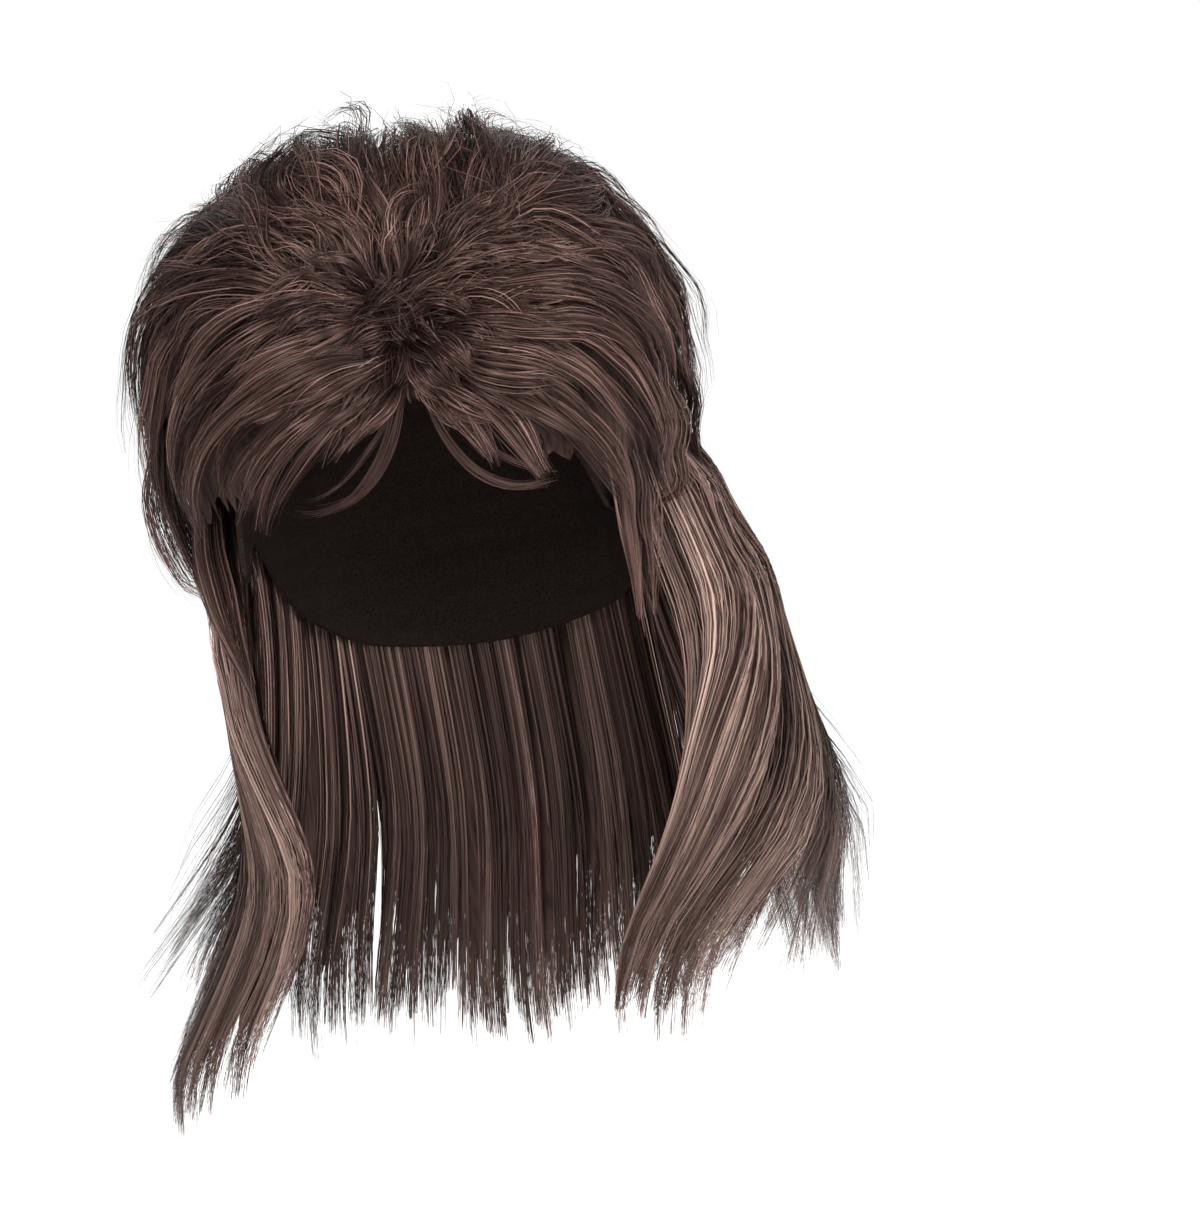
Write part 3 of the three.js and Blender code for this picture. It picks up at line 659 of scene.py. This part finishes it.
def from_part(azimuth):
    return np.abs((azimuth - PART_AZIMUTH + 180) % 360 - 180)


def hang_at(azimuth):
    """How far past the solid's hem, in degrees, locks may hang at an azimuth."""
    return np.interp(from_part(azimuth), FROM_PART, HANG)


def over_hair(ways):
    azimuth, elevation = angles(ways)
    return elevation > hem_at(azimuth) - hang_at(azimuth) - 2


tips = spread_ways(rng, BROAD, over_hair)
sources, crossing = sources_for(rng, tips)
azimuth, elevation = angles(tips)
top = between(elevation, 10, 40)
fringe = between(from_part(azimuth), 95, 70) * (1 - top)
room = np.arccos(np.clip((tips * sources).sum(-1), -1, 1)) * HAIR_RADIUS
lengths = np.minimum(rng.uniform(*LOCK_LENGTH, BROAD), room * MOST_OF_WAY)
bends = np.radians(rng.normal(0, 1, BROAD) * (mix(*BEND, top) + FRINGE_BEND * fringe))
bends = bends * np.where(crossing, CROSSING_BEND, 1)
root_depth = rng.uniform(*ROOT_DEPTH, BROAD)
arch = rng.uniform(*ARCH, BROAD) + CROSSING_ARCH * crossing
tip_lift = rng.uniform(*TIP_LIFT, BROAD) + CROSSING_TIP_LIFT * crossing
lines, outs = lock_lines(rng, tips, sources, lengths, bends, root_depth, arch, tip_lift)

# Locks that end near the fringe's hem are narrower, and all over the fringe they are smoother.
near_hem = between(elevation - hem_at(azimuth), 16, 2) * between(from_part(azimuth), 60, 30)
broad_radius = rng.uniform(*BROAD_RADIUS, BROAD) * (1 - 0.5 * near_hem)
broad_frizz = mix(*BROAD_FRIZZ, top) * (1 - 0.65 * fringe) * rng.uniform(0.6, 1.3, BROAD)
broad_frizz = broad_frizz * np.where(crossing, CROSSING_FRIZZ, 1)
thin_lines, thin_outs, broad_of, _, thin_rise = strands_in_locks(
    rng, lines, outs, THIN, broad_radius, broad_frizz, BROAD_STRAYS, POINTS
)
count = len(thin_lines)
thin_radius = rng.uniform(*THIN_RADIUS, count)
thin_frizz = mix(*THIN_FRIZZ, top) * (1 - 0.6 * fringe) * rng.uniform(0.6, 1.4, BROAD)
thin_frizz = thin_frizz * np.where(crossing, CROSSING_THIN_FRIZZ, 1)
strand_lines, strand_outs, lock, stray, rise = strands_in_locks(
    rng, thin_lines, thin_outs, PER_LOCK, thin_radius, thin_frizz[broad_of], THIN_STRAYS, FINE_POINTS
)
azimuth, _ = angles(unit(strand_lines[:, -1] - HAIR_MIDDLE))
hang = hang_at(azimuth)
hang = hang + rng.normal(0, 1, len(strand_lines)) * (0.6 + hang * 0.4)
strand_lines = clear_of_cap(cut_at_hem(strand_lines, hang))

short_trees = {name: solid_tree([name]) for name in SHORT_NODES}
owner = []
for middle in thin_lines[:, int(POINTS * OWNER_AT)]:
    gaps = [tree.find_nearest(Vector(middle))[3] for tree in short_trees.values()]
    owner.append(SHORT_NODES[int(np.argmin(gaps))])
owner = np.array(owner)
# The crown's strands are three pieces: the front, and the back on either side.
azimuth, _ = angles(unit(thin_lines[:, -1] - HAIR_MIDDLE))
back_part = np.where(azimuth > PART_AZIMUTH, "left", "right")
crown_part = np.where(from_part(azimuth) < CROWN_FRONT, "front", back_part)
piece_of = np.where(owner == "crown_hair", np.char.add("crown_hair_", crown_part), owner)

total = len(lock)
azimuth, elevation = angles(unit(strand_lines[:, FINE_POINTS // 2] - HAIR_MIDDLE))
source_elevation, half_width, half_height = SOURCE_SHADOW
aside = (azimuth - PART_AZIMUTH) / half_width
above = (elevation - source_elevation) / half_height
at_source = np.exp(-aside**2 - above**2)
broad_shade = (rng.normal(*BROAD_SHADE, BROAD) + CROSSING_PAINTED_SHADE * crossing)[broad_of]
# Thin locks and strands further out in their lock are lighter: painted light and shade.
thin_shade = broad_shade + rng.normal(*THIN_SHADE, count) + THIN_OUTER_PAINTED_LIGHT * thin_rise
shades = thin_shade[lock] + rng.normal(*STRAND_SHADE, total) + OUTER_PAINTED_LIGHT * rise + STRAY_SHADE * stray
shades = np.clip(shades + SOURCE_SHADE * at_source, 0, 1)
thin_roll = rng.normal(0, 18, count)
rolls = np.radians(thin_roll[lock] + rng.normal(0, 30, total))[:, None]
widths = rng.uniform(*STRAND_WIDTH, total) * np.where(stray, 0.6, 1)
lock_mark = rng.uniform(0, 1, count)

CROWN_PIECES = ["crown_hair_front", "crown_hair_left", "crown_hair_right"]
pieces = {name: Strands() for name in CROWN_PIECES + SHORT_NODES[1:] + BURN_NODES + TAIL_NODES}
for name in CROWN_PIECES + SHORT_NODES[1:]:
    mine = piece_of[lock] == name
    pieces[name].add(
        strand_lines[mine], strand_outs[mine], widths[mine], rolls[mine], shades[mine], lock_mark[lock[mine]]
    )


# Wisps that fall from the parting into the open front. Their azimuths are in degrees, and their drops
# below the middle of the hair in millimetres.

WISPS = [
    dict(strands=28, spread=0.0017, azimuth=(10, 7, 3, -2, -9, -20, -29), drop=(-8, 0, 12, 22, 31, 35, 32)),
    dict(strands=16, spread=0.0012, azimuth=(9, 4, -3, -10, -17, -25), drop=(-8, 2, 13, 22, 28, 30)),
    dict(strands=10, spread=0.0008, azimuth=(8, 3, -4, -14, -24), drop=(-8, 6, 22, 33, 38)),
    dict(strands=28, spread=0.0017, azimuth=(13, 14, 16, 22, 30, 38, 45), drop=(-8, 0, 16, 29, 37, 41, 40)),
    dict(strands=16, spread=0.0012, azimuth=(13, 17, 22, 29, 37, 45), drop=(-8, 2, 14, 25, 33, 37)),
    dict(strands=12, spread=0.0010, azimuth=(14, 20, 27, 35, 44), drop=(-8, 2, 12, 20, 27)),
]
WISP_STAND = 0.005  # how far off the cap they lie
WISP_WIDTH = (0.00025, 0.00045)
WISP_SHADE = (0.0, 0.28)


def wisp_strands(rng, strands, spread, azimuth, drop):
    """A wisp's strands and their ways out, along a smooth curve near its azimuths and drops."""
    knots = np.linspace(0, 1, len(azimuth))
    t = np.linspace(0, 1, POINTS)
    azimuth = np.polyval(np.polyfit(knots, azimuth, 4), t)
    drop = np.polyval(np.polyfit(knots, drop, 4), t) * MM
    reach = look_up(cap_reach, azimuth, np.zeros(POINTS))
    for _ in range(3):
        elevation = np.degrees(np.arctan2(-drop, reach))
        reach = look_up(cap_reach, azimuth, elevation) * np.cos(np.radians(elevation)) + WISP_STAND
    middle = HAIR_MIDDLE + np.stack([
        reach * np.sin(np.radians(azimuth)), -reach * np.cos(np.radians(azimuth)), -drop
    ], -1)
    lines = middle[None]
    outs = unit(lines - HAIR_MIDDLE)
    made, outs, _, _, _ = strands_in_locks(
        rng, lines, outs, strands, np.array([spread]), np.array([spread * 0.5]), 0.1, POINTS
    )
    return made, outs


for wisp in WISPS:
    made, outs = wisp_strands(rng, **wisp)
    side = "fringe_left" if wisp["azimuth"][-1] > PART_AZIMUTH else "fringe_right"
    n = len(made)
    pieces[side].add(
        made, outs, rng.uniform(*WISP_WIDTH, n), np.radians(rng.normal(0, 20, n))[:, None],
        rng.uniform(*WISP_SHADE, n), np.full(n, 0.5),
    )


# The dark mass under the short hair: painted shade for its depth

def under_shell(rng, depth, tuck, fray):
    """A closed skin a little inside the hair, from the top down to above its hem, where it is frayed."""
    columns, rows = 240, 36
    azimuth = np.arange(columns) * 360 / columns - 180
    # The fourth highest hem nearby passes over the slits between the solids.
    near = np.arange(-12, 13, 2)
    low = np.sort(hem_at(azimuth[:, None] + near), 1)[:, -4]
    low = np.mean([np.roll(low, k) for k in range(-4, 5)], 0) + tuck + rng.uniform(0, fray, columns)
    share = np.linspace(0, 1, rows)[:, None]
    elevation = mix(90.0, low[None, :], share)
    ways = direction(np.broadcast_to(azimuth, elevation.shape), elevation)
    corners = on_hair(ways, -depth * np.ones(elevation.shape))
    k = np.arange(rows * columns).reshape(rows, columns)
    after = np.roll(k, -1, 1)
    faces = np.stack([k[:-1], k[1:], after[1:], after[:-1]], -1).reshape(-1, 4)
    return corners.reshape(-1, 3), faces


# A sheet of painted shade under the crown's strands
pieces["crown_hair_front"].add_shell(*under_shell(rng, depth=0.012, tuck=2.5, fray=7.0))


# Long hair and sideburns

class Panel:
    """A hanging panel of hair: the inside and the outside of its solid at shares across and levels."""

    LEVEL_STEP = 0.003
    ACROSS = 48
    HALF_SPAN = 75  # degrees to either side of its middle
    ROOTS = 16  # rows above the solid, where its strands lie under the short hair
    TOP_ROWS = 5  # rows of the slanting top face
    ROOT_DEPTH = 0.012
    JOIN = 0.075  # how far down the strands keep the reach that the short hair has at its hem
    PROUD = {"tail_left": 0.006, "tail_right": 0.002}  # how far strands stand off the solid
    EDGE_LEVEL = -0.13  # under the hem all round, and above where the edges run forwards
    EDGE_STEP = 1.2  # degrees a row, past which an edge is where the panel's top slants

    def __init__(self, name):
        tree = solid_tree([name])
        low, high = (np.array(corner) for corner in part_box(name))
        middle = (low + high) / 2
        facing = np.degrees(np.arctan2(middle[0], -middle[1]))
        self.facing = facing
        self.top = high[2] - 0.001
        self.levels = np.arange(self.top + self.ROOTS * self.LEVEL_STEP, low[2], -self.LEVEL_STEP)
        azimuths = facing + np.arange(-self.HALF_SPAN, self.HALF_SPAN + 1)
        shape = (len(self.levels), len(azimuths))
        inner, outer = np.full(shape, np.nan), np.full(shape, np.nan)
        for i, level in enumerate(self.levels):
            axis = Vector((0, 0, level))
            for j, azimuth in enumerate(azimuths):
                way = Vector(direction(azimuth, 0.0))
                hit = tree.ray_cast(axis, way)[0]
                if hit is not None:
                    inner[i, j] = (hit - axis).length
                    outer[i, j] = (tree.ray_cast(axis + way * FAR, -way)[0] - axis).length
        held = ~np.isnan(inner)
        self.fill(inner, held)
        self.fill(outer, held)
        first = np.array([azimuths[np.argmax(row)] for row in held])
        last = np.array([azimuths[len(row) - 1 - np.argmax(row[::-1])] for row in held])
        middle_row = (len(self.levels) + self.ROOTS) // 2
        upper = min(middle_row, int((self.levels[0] - self.EDGE_LEVEL) / self.LEVEL_STEP))
        for edge in (first, last):
            self.carried_up(edge, upper)
        tops = self.column_tops(held, azimuths, first[0], last[0])
        self.join_short_hair(inner, outer, azimuths, tops)
        inner, outer = self.softened(inner), self.softened(outer)
        outer += self.PROUD.get(name, 0) * between(self.levels, self.top, self.top - 0.03)[:, None]
        # Below the first notch between its tips, a panel's edges run on as they came.
        whole = held.sum(1) >= (last - first) + 0.5
        notch = middle_row + np.argmin(whole[middle_row:]) - 2
        rest = np.arange(1, len(first) - notch + 1)
        for edge in (first, last):
            slope = (edge[notch - 1] - edge[notch - 9]) / 8
            edge[notch:] = edge[notch - 1] + slope * rest
        self.first = self.evened(first)
        self.last = self.evened(last)
        share = np.linspace(0, 1, self.ACROSS)
        self.tops = np.interp(self.first[0] + share * (self.last[0] - self.first[0]), azimuths, tops)
        self.inner = np.empty((len(self.levels), self.ACROSS))
        self.outer = self.inner.copy()
        for i in range(len(self.levels)):
            places = self.first[i] + share * (self.last[i] - self.first[i])
            for table, source in ((self.inner, inner), (self.outer, outer)):
                table[i] = np.interp(places, azimuths, source[i])
        span = (self.last - self.first)[:, None]
        near = np.interp(self.first[:, None] + share * span, azimuths, azimuths)
        column = np.clip(np.round(near - azimuths[0]).astype(int), 0, len(azimuths) - 1)
        there = held[np.arange(len(self.levels))[:, None], column]
        lowest = len(self.levels) - 1 - np.argmax(there[::-1], 0)
        tips = self.levels[lowest]
        padded = np.pad(tips, 3, mode="edge")
        self.tips = np.min([padded[k:k + self.ACROSS] for k in range(7)], 0)

    def carried_up(self, edge, row):
        """Takes an edge straight up from where the panel's slanting top cuts it off."""
        while row > 0 and abs(edge[row - 1] - edge[row]) < self.EDGE_STEP:
            row -= 1
        edge[:row] = edge[row]

    def column_tops(self, held, azimuths, first, last):
        """The level of the solid's top at each azimuth. Past its edges it is the same as at them."""
        columns = np.flatnonzero((azimuths >= first + 1) & (azimuths <= last - 1))
        tops = self.levels[np.argmax(held[:, columns], 0)]
        return np.interp(azimuths, azimuths[columns], tops)

    def join_short_hair(self, inner, outer, azimuths, tops):
        """Brings the strands' outside out to the short hair's at its hem, and in under it above that."""
        at_hem = np.array([level_reach(hair_reach, a, z) for a, z in zip(azimuths, tops)])
        for i, level in enumerate(self.levels):
            above = level - tops
            hair = level_reach(hair_reach, azimuths, level) - self.ROOT_DEPTH * between(above, 0, 0.03)
            hung = np.maximum(outer[i], mix(at_hem, outer[i], between(above, 0, -self.JOIN)))
            outer[i] = np.where(above > 0, hair, hung)
            cap = level_reach(cap_reach, azimuths, level) + CAP_CLEAR
            inner[i] = np.where(above > 0, cap, inner[i])

    def fill(self, reach, held):
        """Carries each column of a table on above and below its hair, and fills the columns with none."""
        columns = np.flatnonzero(held.sum(0) > self.TOP_ROWS)
        for j in columns:
            rows = np.flatnonzero(held[:, j])
            top, bottom = rows[self.TOP_ROWS], rows[-1]
            reach[:top, j] = reach[top, j]
            reach[bottom:, j] = reach[bottom, j]
            gaps = np.isnan(reach[:, j])
            reach[gaps, j] = np.interp(np.flatnonzero(gaps), np.flatnonzero(~gaps), reach[~gaps, j])
        for i in range(len(reach)):
            reach[i] = np.interp(np.arange(reach.shape[1]), columns, reach[i, columns])

    @staticmethod
    def evened(values):
        """An edge with its steps taken out."""
        for _ in range(2):
            padded = np.pad(values.astype(float), 8, mode="edge")
            values = np.convolve(padded, np.ones(17) / 17, mode="valid")
        return values

    @staticmethod
    def softened(reach):
        """A table with its creases taken out."""
        for _ in range(6):
            for axis in (0, 1):
                padded = np.pad(reach, [(1, 1) if k == axis else (0, 0) for k in (0, 1)], mode="edge")
                before = np.take(padded, range(reach.shape[axis]), axis)
                after = np.take(padded, range(2, reach.shape[axis] + 2), axis)
                reach = reach / 2 + (before + after) / 4
        return reach

    @staticmethod
    def read(table, row, column):
        """A table's values between its rows and columns."""
        i = row.astype(int)
        j = column.astype(int)
        p, q = row - i, column - j
        top = table[i, j] * (1 - q) + table[i, j + 1] * q
        low = table[i + 1, j] * (1 - q) + table[i + 1, j + 1] * q
        return top * (1 - p) + low * p

    def points(self, across, level, depth):
        """Points at shares across, at levels, and at shares from the inside (0) to the outside (1)."""
        row = np.clip((self.levels[0] - level) / self.LEVEL_STEP, 0, len(self.levels) - 1.001)
        column = np.clip(across, 0, 1) * (self.ACROSS - 1.001)
        first = np.interp(-level, -self.levels, self.first)
        last = np.interp(-level, -self.levels, self.last)
        azimuth = first + across * (last - first)
        reach = mix(self.read(self.inner, row, column), self.read(self.outer, row, column), depth)
        points = np.stack([
            reach * np.sin(np.radians(azimuth)), -reach * np.cos(np.radians(azimuth)), level
        ], -1)
        return clear_of_cap(points)

    def front_share(self, across):
        """Shares across, counted from the panel's free edge in front: 1 throughout for the back's."""
        if abs(self.facing) > 150:
            return np.ones(np.shape(across))
        return across if self.facing > 0 else 1 - across

    def top_at(self, across):
        return np.interp(across, np.linspace(0, 1, self.ACROSS), self.tops)

    def tip_at(self, across):
        return np.interp(across, np.linspace(0, 1, self.ACROSS), self.tips)


BELOW_TIPS = 0.014  # how far past the solid's tips a lock may end
OVERLAP = 2.2  # how many locks' places one lock covers
SHORTER = 0.035  # how much sooner than its lock a strand may end
FLICK = np.array([0.30, 0.12, 0])  # how much further out the ends of a flicked lock lie
FLICK_LEFT = 0.35  # a share of that, on the left
FLICK_RIM = (0.62, 0.17)  # the share across, from the free edge in front, and how near it locks flick
FLICK_DEPTH = 0.4  # locks deeper in the panel don't
FLICK_SHORTER = 0.02
EDGE_TURN = 0.7  # how far hair at a free edge in front turns to face the front


def hanging(
    rng, panel, locks, per_lock, points, root_rise, tip_spread, sway, gather,
    sweep=0.0, flicks=0.0, depths=0.8,
):
    """Straight strands in locks that gather to points, from above a panel's top down to its tips, their ways
    out, their locks, and how much painted light each lock gets, from 0 to 1: more near the outside and at a
    free edge in front."""
    lock_across = (np.arange(locks) + rng.uniform(0, 1, locks)) / locks
    rng.shuffle(lock_across)
    lock_depth = rng.uniform(0.05, 1.0, locks) ** depths
    lock_tip = panel.tip_at(lock_across) + rng.uniform(-BELOW_TIPS, tip_spread, locks)
    lock_spread = rng.uniform(0.6, 1.5, locks) / locks * OVERLAP
    lock = np.repeat(np.arange(locks), per_lock)
    total = len(lock)
    t = np.linspace(0, 1, points)[None, :]
    t = t + 0.05 * np.sin(2 * np.pi * t)  # closer together where the hair bends
    turn = rng.uniform(0, 2 * np.pi, total)
    rho = np.sqrt(rng.uniform(0, 1, total))
    close = 1 - gather * between(t, 0.45, 1)
    across = lock_across[lock][:, None] + lock_spread[lock][:, None] * (rho * np.cos(turn))[:, None] * close
    depth = lock_depth[lock][:, None] + 0.22 * (rho * np.sin(turn))[:, None] * close
    # A lock sways as one, and each of its strands a little by itself, with its end fanned out.
    phase = rng.uniform(0, 2 * np.pi, locks)[lock][:, None]
    cycles = rng.uniform(0.5, 1.3, locks)[lock][:, None]
    across = across + sway * np.sin(2 * np.pi * cycles * t + phase) * t
    phase = rng.uniform(0, 2 * np.pi, total)[:, None]
    cycles = rng.uniform(0.6, 2.4, total)[:, None]
    across = across + sway * 0.3 * np.sin(2 * np.pi * cycles * t + phase) * t
    fan = rng.normal(0, 1, total)[:, None] * sway * 0.8 * between(t, 0.7, 1)
    across = np.clip(across + fan, 0, 1)
    across = across - sweep * 4 * across * (1 - across) * between(t, 0.5, 1)
    tip = lock_tip[lock] + rng.uniform(0, 1, total) ** 2.2 * SHORTER
    # Some locks flick out near their ends, and are shorter.
    rim, near = FLICK_RIM
    at_rim = np.abs(panel.front_share(lock_across) - rim) < near
    may_flick = (rng.uniform(0, 1, locks) < flicks) * at_rim * (lock_depth > FLICK_DEPTH)
    flick = (may_flick * rng.uniform(0.4, 1, locks))[lock]
    tip = tip + FLICK_SHORTER * flick
    root = panel.top_at(lock_across[lock]) + root_rise * rng.uniform(0.5, 1.1, total)
    level = mix(root[:, None], tip[:, None], t)
    lines = panel.points(across, level, np.clip(depth, 0.02, 1.04))
    swing = FLICK * (flick[:, None] * between(t, 0.6, 1) ** 1.5)[..., None]
    lines = lines * (1 + swing * (1 if panel.facing < 0 else FLICK_LEFT))
    outs = unit(lines * np.array([1.0, 1.0, 0.0]))
    forwards = np.cross(outs, [0.0, 0.0, np.sign(panel.facing)])
    outs = unit(outs + forwards * (EDGE_TURN * between(panel.front_share(across), 0.3, 0))[..., None])
    lit_share = np.maximum(lock_depth, between(panel.front_share(lock_across), 0.35, 0))
    return lines, outs, lock, lit_share


# Shades, each as its mean and its spread
PANEL_LOCK_SHADE = (0.33, 0.16)
PANEL_STRAND_SHADE = (0, 0.17)
OPEN_LOCK_PAINTED_LIGHT = 0.32  # painted light added where a lock lies near the outside or at a free edge in front; deep locks stay darker as painted shade


def grow_panel(rng, name, width, locks, **style):
    """Grows a panel's strands, so wide and in so many locks. How they hang is in style."""
    panel = Panel(name)
    lines, outs, lock, lit_share = hanging(rng, panel, locks, **style)
    total = len(lock)
    # Locks further out or at the free edge in front get painted light; deep ones stay dark as painted shade.
    lock_shade = rng.normal(*PANEL_LOCK_SHADE, locks) + OPEN_LOCK_PAINTED_LIGHT * lit_share
    shades = np.clip(lock_shade[lock] + rng.normal(*PANEL_STRAND_SHADE, total), 0, 1)
    rolls = np.radians(rng.normal(0, 20, total))[:, None]
    widths = width * rng.uniform(0.6, 1.25, total)
    pieces[name].add(lines, outs, widths, rolls, shades, rng.uniform(0, 1, locks)[lock])
    return panel


def panel_shell(rng, panel, depth, keep):
    """A dark skin of painted shade inside a panel, which ends raggedly above its tips."""
    across = np.linspace(0.03, 0.97, 60)[None, :]
    share = np.linspace(0, 1, 30)[:, None]
    end = panel.tip_at(across[0]) + keep + rng.uniform(-0.02, 0.03, across.size)
    level = mix(panel.top_at(across[0])[None, :] + 0.02, end[None, :], share)
    corners = panel.points(np.broadcast_to(across, level.shape), level, np.full(level.shape, depth))
    k = np.arange(level.size).reshape(level.shape)
    faces = np.stack([k[:-1, :-1], k[1:, :-1], k[1:, 1:], k[:-1, 1:]], -1).reshape(-1, 4)
    return corners.reshape(-1, 3), faces


# Roots rise above a panel's top, and locks may end above its tips, by so many metres. Sway and sweep are
# shares of its breadth, gather is how far a lock closes to a point, and flicks is the share of the locks at
# the rim that flick out. The lower depths is, the more locks lie near the outside.
TAIL_STYLE = dict(
    width=0.00055, locks=125, per_lock=38, points=15,
    root_rise=0.045, tip_spread=0.010, sway=0.006, gather=0.4,
)
TAILS = {
    "tail_left": dict(sweep=0.16, flicks=0.3, depths=0.7),
    "tail_back": dict(depths=1.0),
    "tail_right": dict(sweep=-0.06, flicks=1.0, depths=0.7),
}
BURN_STYLE = dict(
    width=0.0007, locks=12, per_lock=22, points=12,
    root_rise=0.03, tip_spread=0.008, sway=0.03, gather=0.7,
)

for name, own_style in TAILS.items():
    panel = grow_panel(rng, name, **TAIL_STYLE, **own_style)
    # Each tail gets a skin of painted shade inside it.
    pieces[name].add_shell(*panel_shell(rng, panel, depth=0.45, keep=0.045))
for name in BURN_NODES:
    grow_panel(rng, name, **BURN_STYLE)


for name, strands in pieces.items():
    is_long = name in TAIL_NODES
    material = long_material if is_long else short_material
    replaced = "crown_hair" if name in CROWN_PIECES else name
    title = name + "_strands"
    piece = add_piece(title, strands.mesh(title), [material, depth_shade_material], [replaced])


# Floor, light and camera

def floor():
    """A pale floor, far wider than the picture, clear below the tails."""
    mesh = bpy.data.meshes.new("floor")
    half, level = 30.0, -0.46
    corners = [(-half, -half, level), (half, -half, level), (half, half, level), (-half, half, level)]
    mesh.from_pydata(corners, [], [(0, 1, 2, 3)])
    plane = bpy.data.objects.new("floor", mesh)
    bpy.context.collection.objects.link(plane)
    material = bpy.data.materials.new("floor")
    material.use_nodes = True
    shader = material.node_tree.nodes["Principled BSDF"]
    shader.inputs["Base Color"].default_value = (0.96, 0.96, 0.96, 1)
    shader.inputs["Roughness"].default_value = 1.0
    shader.inputs["Specular IOR Level"].default_value = 0.0
    mesh.materials.append(material)


def light(name, place, aim, size, power):
    """A square lamp, turned to what it lights, with its power in watts."""
    lamp = bpy.data.lights.new(name, "AREA")
    lamp.size = size
    lamp.energy = power
    lamp_object = bpy.data.objects.new(name, lamp)
    bpy.context.collection.objects.link(lamp_object)
    lamp_object.location = place
    lamp_object.rotation_euler = (Vector(aim) - Vector(place)).to_track_quat("-Z", "Y").to_euler()


def world(strength):
    sky = bpy.data.worlds.new("sky")
    sky.use_nodes = True
    background = sky.node_tree.nodes["Background"]
    background.inputs[0].default_value = (1, 1, 1, 1)
    background.inputs[1].default_value = strength
    bpy.context.scene.world = sky


def camera():
    """The camera round its pivot, rolled about its line of sight and then aimed a little to the side."""
    a, e, roll = (np.radians(x) for x in (CAMERA_AZIMUTH, CAMERA_ELEVATION, CAMERA_ROLL))
    back = Vector((np.sin(a) * np.cos(e), -np.cos(a) * np.cos(e), np.sin(e)))
    right = Vector((np.cos(a), np.sin(a), 0))
    up = back.cross(right)
    rolled_right = right * np.cos(roll) + up * np.sin(roll)
    rolled_up = up * np.cos(roll) - right * np.sin(roll)
    place = CAMERA_PIVOT + back * CAMERA_DISTANCE
    aim = CAMERA_PIVOT + rolled_right * CAMERA_AIM[0] + rolled_up * CAMERA_AIM[1]
    z = (place - aim).normalized()
    x = rolled_up.cross(z).normalized()
    y = z.cross(x)
    lens = bpy.data.cameras.new("camera")
    lens.lens = CAMERA_LENS
    lens.sensor_width = 36
    lens.clip_end = 100
    view = bpy.data.objects.new("camera", lens)
    bpy.context.collection.objects.link(view)
    view.matrix_world = Matrix.Translation(place) @ Matrix((x, y, z)).transposed().to_4x4()
    bpy.context.scene.camera = view


floor()
world(1.06)
light("key", (-0.25, -1.85, 0.8), (0, 0, -0.1), 0.8, 95)
light("fill", (1.5, -1.1, 0.1), (0, 0, -0.15), 1.0, 85)
light("low", (0.4, -1.8, -0.25), (0, 0, -0.2), 0.8, 20)
light("back", (0.4, 1.6, 1.2), (0, 0, -0.05), 1.4, 6)
camera()
bpy.context.scene.view_settings.view_transform = "Standard"
